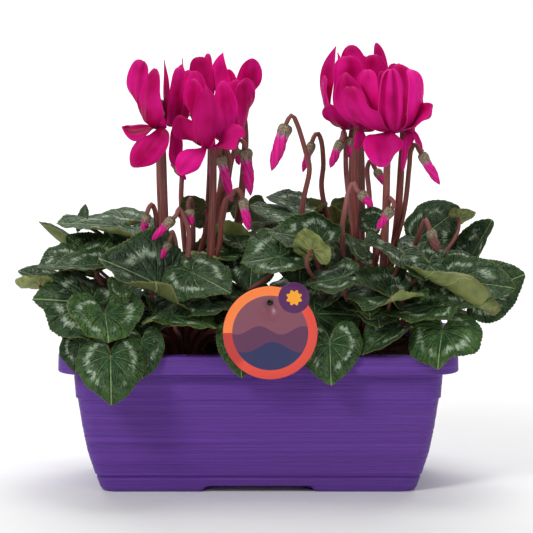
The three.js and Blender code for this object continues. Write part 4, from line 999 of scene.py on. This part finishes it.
def make_petal(build, petal, mouth, rng, depth):
    rows, columns = 34, 23
    azimuth, face, twist, *tip, bow, sag, width, cup, taper = petal[:11]
    fold = petal[11] if len(petal) > 11 else rng.uniform(0.02, 0.07)
    t = np.linspace(0, 1, rows) ** 0.9
    t[-1] = 0.995
    centre, along = petal_curve(mouth, azimuth, vec(*tip), bow, sag, t)
    turn = np.radians(azimuth + (face - azimuth) * smooth(0.1, 0.7, t))
    level = np.stack([np.cos(turn), np.sin(turn), 0 * turn], axis=1)
    across = np.sin(np.linspace(-1, 1, columns) * math.pi / 2)
    edge, way = np.abs(across), np.sign(across)
    half = petal_half_width(width, taper, t)
    phase, lean = rng.uniform(0, ANY_PHASE, 4), rng.uniform(-0.05, 0.05)
    twisted = twist * smooth(0, 0.55, t) + 7 * np.sin(4 * t + phase[0]) * t
    points = np.zeros((rows, columns, 3))
    for i, (at, late) in enumerate(zip(t, smooth(0.3, 0.85, t))):
        side = unit(level[i] - along[i] * np.dot(level[i], along[i]))
        side = rotated(side, along[i], twisted[i])
        normal = unit(np.cross(along[i], side))
        rise = (1.35 * cup * across ** 2 * (1 + 0.6 * (1 - late))
                - 0.26 * np.maximum(0, edge - 0.66) ** 2 / 0.12 * late
                + fold * np.cos(math.pi * across * 2.5 + phase[1]) * min(1, at * 2)
                + 0.10 * late * edge ** 3 * np.sin(8 * at + phase[2] + 1.8 * way)
                - 0.09 * np.exp(-(across / 0.12) ** 2) * (1 - 0.6 * at)
                + 0.16 * late * across * math.sin(3.2 * at + phase[2]))
        sway = width * (0.05 * math.sin(3 * at + phase[3]) + lean * at)
        ragged = 1 + 0.025 * np.sin(17 * at + phase[0] + way) * edge
        back = -0.10 * half[i] * edge ** 2 * late
        points[i] = (centre[i] + np.outer(across * half[i] * ragged + sway * at, side)
                     + np.outer(rise * half[i], normal) + np.outer(back, along[i]))
    thin = grid_normals(points) * (PETAL_THICKNESS / 2 * (1 - 0.5 * across ** 4))[None, :, None]
    uv = np.stack([np.tile(0.5 + across / 2, rows), np.repeat(t, columns)], axis=1)
    tone = rng.uniform(0, 1)
    reach = np.maximum(np.tile(edge, rows), uv[:, 1])
    # the listed darkness is painted shade; other petals get a random tone
    tint = np.stack([reach, np.full(len(reach), tone if depth is None else depth)], axis=1)
    both = np.concatenate([points + thin, points - thin]).reshape(-1, 3)
    build.add(both, sheet_faces(rows, columns)[:, ::-1], np.tile(uv, (2, 1)), np.tile(tint, (2, 1)))


def make_bloom(name, mouth, petals, index):
    build, rng = Build(), np.random.default_rng(300 + index)
    for k, petal in enumerate(petals):
        make_petal(build, petal, mouth, rng, PETAL_PAINTED_SHADE.get(name, {}).get(k))
    round_stack(build, mouth, UP, TUBE_ROWS, 30, 0, 5, 0.05)
    build.piece(name.replace("bloom", "flower"), [PETAL], "petal", [name])


BLOOMS = []
for row in table(BLOOM_TABLE):
    if isinstance(row[0], str):
        BLOOMS.append((row[0], row[1], vec(*row[2:]), []))
    else:
        BLOOMS[-1][3].append(row)
for number, (name, _, mouth, petals) in enumerate(BLOOMS):
    make_bloom(name, mouth, petals, number)


# Stalks, buds and tubers

STALK_RADIUS, BUD_STALK_RADIUS, PETIOLE_RADIUS = 3.2, 2.1, 1.7
TUBER_HEIGHT = 10
TUBER_ROWS = [(-TUBER_HEIGHT, 0.5), (-8, 11), (-5, 16.5), (0, 19.5), (4, 18), (7.5, 13), (9.4, 7),
              (TUBER_HEIGHT, 0.5)]
CALYX_ROWS = [(0.35, 4.1), (1.0, 4.5), (2.2, 4.6), (3.6, 3.8), (4.8, 2.6), (6.2, 1.5)]
# distance in mm and share of the bud's radius
BUD_CALYX = [(-0.8, 0.4), (-0.3, 0.75), (0.8, 0.95), (2.4, 1.06), (4.2, 1.08), (5.8, 1.02), (6.8, 0.96),
             (7.2, 0.8)]
# share of the bud's length and of its radius
BUD_PROFILE = [(0, 0.86), (0.08, 0.95), (0.2, 1.0), (0.4, 1.02), (0.6, 0.96), (0.78, 0.72), (0.9, 0.42),
               (0.97, 0.2), (1, 0.06)]
WITHERED_BUD = (131, -30, 201)
# Plant, calyx, tip, radius, and points that the stalk passes
BUD_ROWS = table("""
left -85 -30 213 -88 -32 199 2.6 -77 -22 195
left -65 -42 212 -81 -46 196 2.9 -54 -34 173 -53 -36 201
left -69 -36 193 -75 -42 180 2.6 -62 -26 181
left -53 -30 217 -51 -33 205 2.8 -50 -18 195
left -29 -22 257 -20 -26 222 3.4 -38 -8 205 -22 -14 251
left -10 -14 261 -6 -18 226 4.2 -30 -2 195 -21 -8 249
left -12 -42 227 -7 -44 203 3.2 -30 -30 189 -28 -36 214 -24 -38 227
right 21 -30 282 10 -36 248 4.6 34 -20 207 39 -22 248 36 -24 261
right 41 0 264 34 -4 242 2.6 49 8 225 50 6 247
right 63 -4 266 55 -8 246 3.2 68 6 235
right 71 4 268 70 2 252 3.0 76 12 235
right 91 12 241 98 6 230 2.6 86 16 215
right 77 -42 232 87 -46 222 3.0 64 -30 201 66 -38 219
right 101 -44 220 90 -50 205 3.0 96 -24 201
right 124 -30 260 138 -34 237 3.4 110 -20 208 115 -26 249
right 131 -30 201 137 -36 185 3.4 118 -16 181
left -17 14 257 -15 12 245 2.4 -30 16 225
left -64 18 242 -56 16 233 2.2 -60 24 215
""")


def widest_space(petals):
    """The side on which the petals leave most room for the stalk."""
    turns = sorted(p[0] % 360 for p in petals)
    spaces = [((turns[(i + 1) % len(turns)] - turn) % 360, turn) for i, turn in enumerate(turns)]
    space, start = max(spaces, key=lambda s: s[0])
    return start + space / 2


def make_bloom_stalk(build, crown, mouth, petals, index, rng):
    side = outward(widest_space(petals))
    beside = lambda distance, height: mouth + side * distance + UP * height
    foot = crown + outward(index * 60) * 7 + UP * (TUBER_HEIGHT - 4)
    low = foot + (beside(11, -20) - foot) * 0.75
    low[2] = foot[2] + 0.36 * (mouth[2] - foot[2])
    hook = [(11, -22), (8.6, 2), (6.5, TUBE_LENGTH + 9), (2, TUBE_LENGTH + 10), (0, TUBE_LENGTH + 4)]
    points = spline([foot, low, *(beside(*place) for place in hook)], 70)
    radii = STALK_RADIUS * (1.1 - 0.35 * np.linspace(0, 1, len(points)))
    tube(build, points, radii, 14, (rng.uniform(0, 0.35), rng.uniform(0, 1)))
    round_stack(build, beside(0, TUBE_LENGTH), UP, CALYX_ROWS, 30, 1, 5, 0.09)


def make_bud(build, crown, calyx, tip, radius, via, index, rng):
    length = np.linalg.norm(tip - calyx)
    axis, side = unit(tip - calyx), unit((via[-1] - calyx) * vec(1, 1, 0))
    beside = lambda distance, height: calyx + side * distance + UP * height
    foot = crown + outward(30 + index * 47) * 10 + UP * (TUBER_HEIGHT - 5)
    points = spline([foot, *via, beside(8.5, 2), beside(5, 7.5), calyx - axis * 4, calyx + axis * 2], 60)
    radii = BUD_STALK_RADIUS * (1.15 - 0.3 * np.linspace(0, 1, len(points)))
    tube(build, points, radii, 12, (rng.uniform(0, 0.9), rng.uniform(0, 1)))
    scale, grown = min(1, length / 20), radius * (1.14 if radius > 3 else 1.3)
    cup = [(d * scale, r * grown) for d, r in BUD_CALYX]
    round_stack(build, calyx, axis, cup, 50, 1, 5, 0.06, points=3.4 * scale)
    start = 5.0 * scale
    body = [(start + (length - start) * s, max(radius * k, 0.2)) for s, k in BUD_PROFILE]
    withered = float(np.array_equal(calyx, WITHERED_BUD))
    round_stack(build, calyx, axis, body, 40, 2, 5, 0.13, 2.6, (withered, 0))


def make_leaf_stalk(build, crown, leaf, rng):
    face = leaf_axes(leaf)[2]
    end = leaf["place"] - face * 0.2
    out = unit((end - crown) * vec(1, 1, 0))
    low = min(max((180 - end[2]) / 60, 0), 1)
    foot = crown + out * (9 + 6 * low) + UP * (TUBER_HEIGHT - 5 - 3 * low)
    span = np.linalg.norm(end - foot)
    rise, arrive = foot + out * 0.1 * span + UP * 0.42 * span, end - face * 0.3 * span
    arrive[2] = max(arrive[2], TROUGH_HEIGHT + 9)
    t = np.linspace(0, 1, 26)
    points = bezier(t[:, None], foot, rise, arrive, end)
    tube(build, points, PETIOLE_RADIUS * (1.05 - 0.25 * t), 10, (rng.uniform(0, 0.5), rng.uniform(0, 1)))


def make_stems(plant, crown, seed):
    build, rng = Build(), np.random.default_rng(seed)
    round_stack(build, crown, UP, TUBER_ROWS, 40, 3, 7, 0.03)
    for index, (_, of, mouth, petals) in enumerate(BLOOMS):
        if of == plant:
            make_bloom_stalk(build, crown, mouth, petals, index, rng)
    for index, (of, *numbers) in enumerate(BUD_ROWS):
        if of == plant:
            calyx, tip, via = vec(*numbers[:3]), vec(*numbers[3:6]), np.reshape(numbers[7:], (-1, 3))
            make_bud(build, crown, calyx, tip, numbers[6], via, index, rng)
    for leaf in LEAVES + SMALL_LEAVES:
        if leaf["plant"] == plant:
            make_leaf_stalk(build, crown, leaf, rng)
    build.piece(f"{plant}-plant-stalks", [STALK, CALYX, BUD, SOIL], "stem", [f"{plant}-plant-stems-and-buds"])


make_stems("left", CROWNS["left"], 7)
make_stems("right", CROWNS["right"], 8)


# Tag

TAG_AT, TAG_RADIUS, CARD, CARD_EDGE = vec(9, -85, 132), 35.6, 1.2, 0.15
BADGE_AT, BADGE_RADIUS = vec(18, 0, 27), 11.7
TAG_HOLE_AT, TAG_HOLE_RADIUS = vec(0, 0, 23), 2.4
CARD_UV = 100.0  # mm across the card's coordinate square


def card_look():
    """A generic print: an orange ring, a plum field with soft waves, a purple badge with a plain sun."""
    n = Nodes("tag-card", Roughness=0.35, Specular_IOR_Level=0.45)
    crisp = lambda value, edge: n.step(value, edge - 0.12, edge + 0.12)
    x, z = ((value - 0.5) * CARD_UV for value in n.uv("place"))
    bx, bz = x - float(BADGE_AT[0]), z - float(BADGE_AT[2])
    radius, badge = (x * x + z * z).op("SQRT"), (bx * bx + bz * bz).op("SQRT")
    angle, rays = z.op("ARCTAN2", x), (bz.op("ARCTAN2", bx) * 8.0).op("COSINE") * 0.8
    field = n.mix(crisp(z + (x * 0.19).op("SINE") * 3.2, 2.0), (96, 48, 84), (133, 75, 92))
    field = n.mix(crisp((x * 0.15 + 1.3).op("SINE") * 4.0 - z, 11.0), field, (40, 44, 92))
    ring = n.mix(crisp(angle, 0.9), (236, 78, 62), (255, 134, 66))
    ring = n.mix(crisp(angle * -1.0, 2.35), ring, (200, 55, 50))
    colour = n.mix(crisp(badge, 11.9), (84, 28, 88), n.mix(crisp(radius, 28.6), field, ring))
    colour = n.mix(crisp(badge + rays, 5.4), (255, 170, 40), colour)
    return n.finish(colour, None, n.grain(900.0), 0.04, 0.0003)


def stake_look():
    n = Nodes("tag-stake", Roughness=0.5)
    grain = n.grain(300.0, 3.0)
    return n.finish(n.mix(grain, (44, 66, 38), (70, 96, 56)), None, grain, 0.2, 0.0005)


def make_tag():
    """The card's outline is the union of disc and badge; the hole is left open."""
    outline, turns = [], around(180)
    circle = np.stack([np.cos(turns), 0 * turns, np.sin(turns)], axis=1)
    for direction in circle:
        along = np.dot(BADGE_AT, direction)
        gap = BADGE_RADIUS ** 2 - (np.dot(BADGE_AT, BADGE_AT) - along ** 2)
        outline.append(direction * max(TAG_RADIUS, along + math.sqrt(gap) if gap > 0 else 0))
    outline, hole = np.array(outline), TAG_HOLE_AT + TAG_HOLE_RADIUS * circle
    inset = outline * (1 - CARD_EDGE / TAG_RADIUS)
    disc = [inset * (1 - share) + hole * share for share in np.linspace(0, 1, 5)]
    face, rim = vec(0, CARD / 2, 0), vec(0, CARD / 2 - CARD_EDGE, 0)
    front, back = [ring - face for ring in disc], [ring + face for ring in disc[::-1]]
    rings = [outline - rim, *front, *back, outline + rim]
    points, count = np.concatenate(rings), len(turns)
    last, loop = (len(rings) - 1) * count, np.arange(count)
    after = (loop + 1) % count
    close = np.stack([last + loop, last + after, after, loop], axis=1)
    faces = np.concatenate([grid_faces(len(rings), count, True), close])[:, ::-1]
    build = Build()
    build.add(points + TAG_AT, faces, 0.5 + points[:, [0, 2]] / CARD_UV)
    build.piece("tag-disc", [card_look()], "tag-card", ["tag-card"])


make_tag()
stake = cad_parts["tag-stake"]
stake.data.materials.clear()
stake.data.materials.append(stake_look())


# Floor, light and camera


def link(name, data):
    made = bpy.data.objects.new(name, data)
    bpy.context.scene.collection.objects.link(made)
    return made


def make_floor(size):
    mesh = bpy.data.meshes.new("floor")
    corners = [(-size, -size, 0), (size, -size, 0), (size, size, 0), (-size, size, 0)]
    mesh.from_pydata(corners, [], [(0, 1, 2, 3)])
    n = Nodes("floor", Roughness=0.9, Specular_IOR_Level=0.1)
    mesh.materials.append(n.finish(n.mix(n.grain(40.0), (0.86, 0.86, 0.86, 1), (0.88, 0.88, 0.88, 1))))
    made = link("floor", mesh)


def area(name, place, target, size, power):
    light = bpy.data.lights.new(name, "AREA")
    light.shape, light.energy = "RECTANGLE", power
    light.size, light.size_y = size
    lamp = link(name, light)
    lamp.location = place
    lamp.rotation_euler = (Vector(target) - Vector(place)).to_track_quat("-Z", "Y").to_euler()


make_floor(6.0)
area("key", (-1.5, -1.9, 2.1), (0, 0, 0.2), (0.8, 0.8), 40)
area("fill", (1.9, -1.8, 0.9), (0, 0, 0.2), (1.4, 1.4), 8)
area("top", (0.1, 0.2, 2.2), (0, 0, 0.15), (1.0, 1.0), 13)
area("backdrop", (0.0, 2.4, 2.6), (0, 2.2, 0.0), (4.0, 2.0), 95)

world = bpy.data.worlds.new("studio")
world.use_nodes = True
world.node_tree.nodes["Background"].inputs[0].default_value = (1, 1, 1, 1)
world.node_tree.nodes["Background"].inputs[1].default_value = 0.34
bpy.context.scene.world = world

TARGET = (vec(6.2, -60, 178.3) + TROUGH_AT) * MM
ELEVATION, DISTANCE = math.radians(10), 3.0
camera = link("camera", bpy.data.cameras.new("camera"))
camera.data.lens, camera.data.sensor_width = 267.7, 36
camera.location = TARGET + DISTANCE * vec(0, -math.cos(ELEVATION), math.sin(ELEVATION))
camera.rotation_euler = (math.pi / 2 - ELEVATION, 0, 0)
bpy.context.scene.camera = camera
bpy.context.scene.view_settings.view_transform = "Standard"
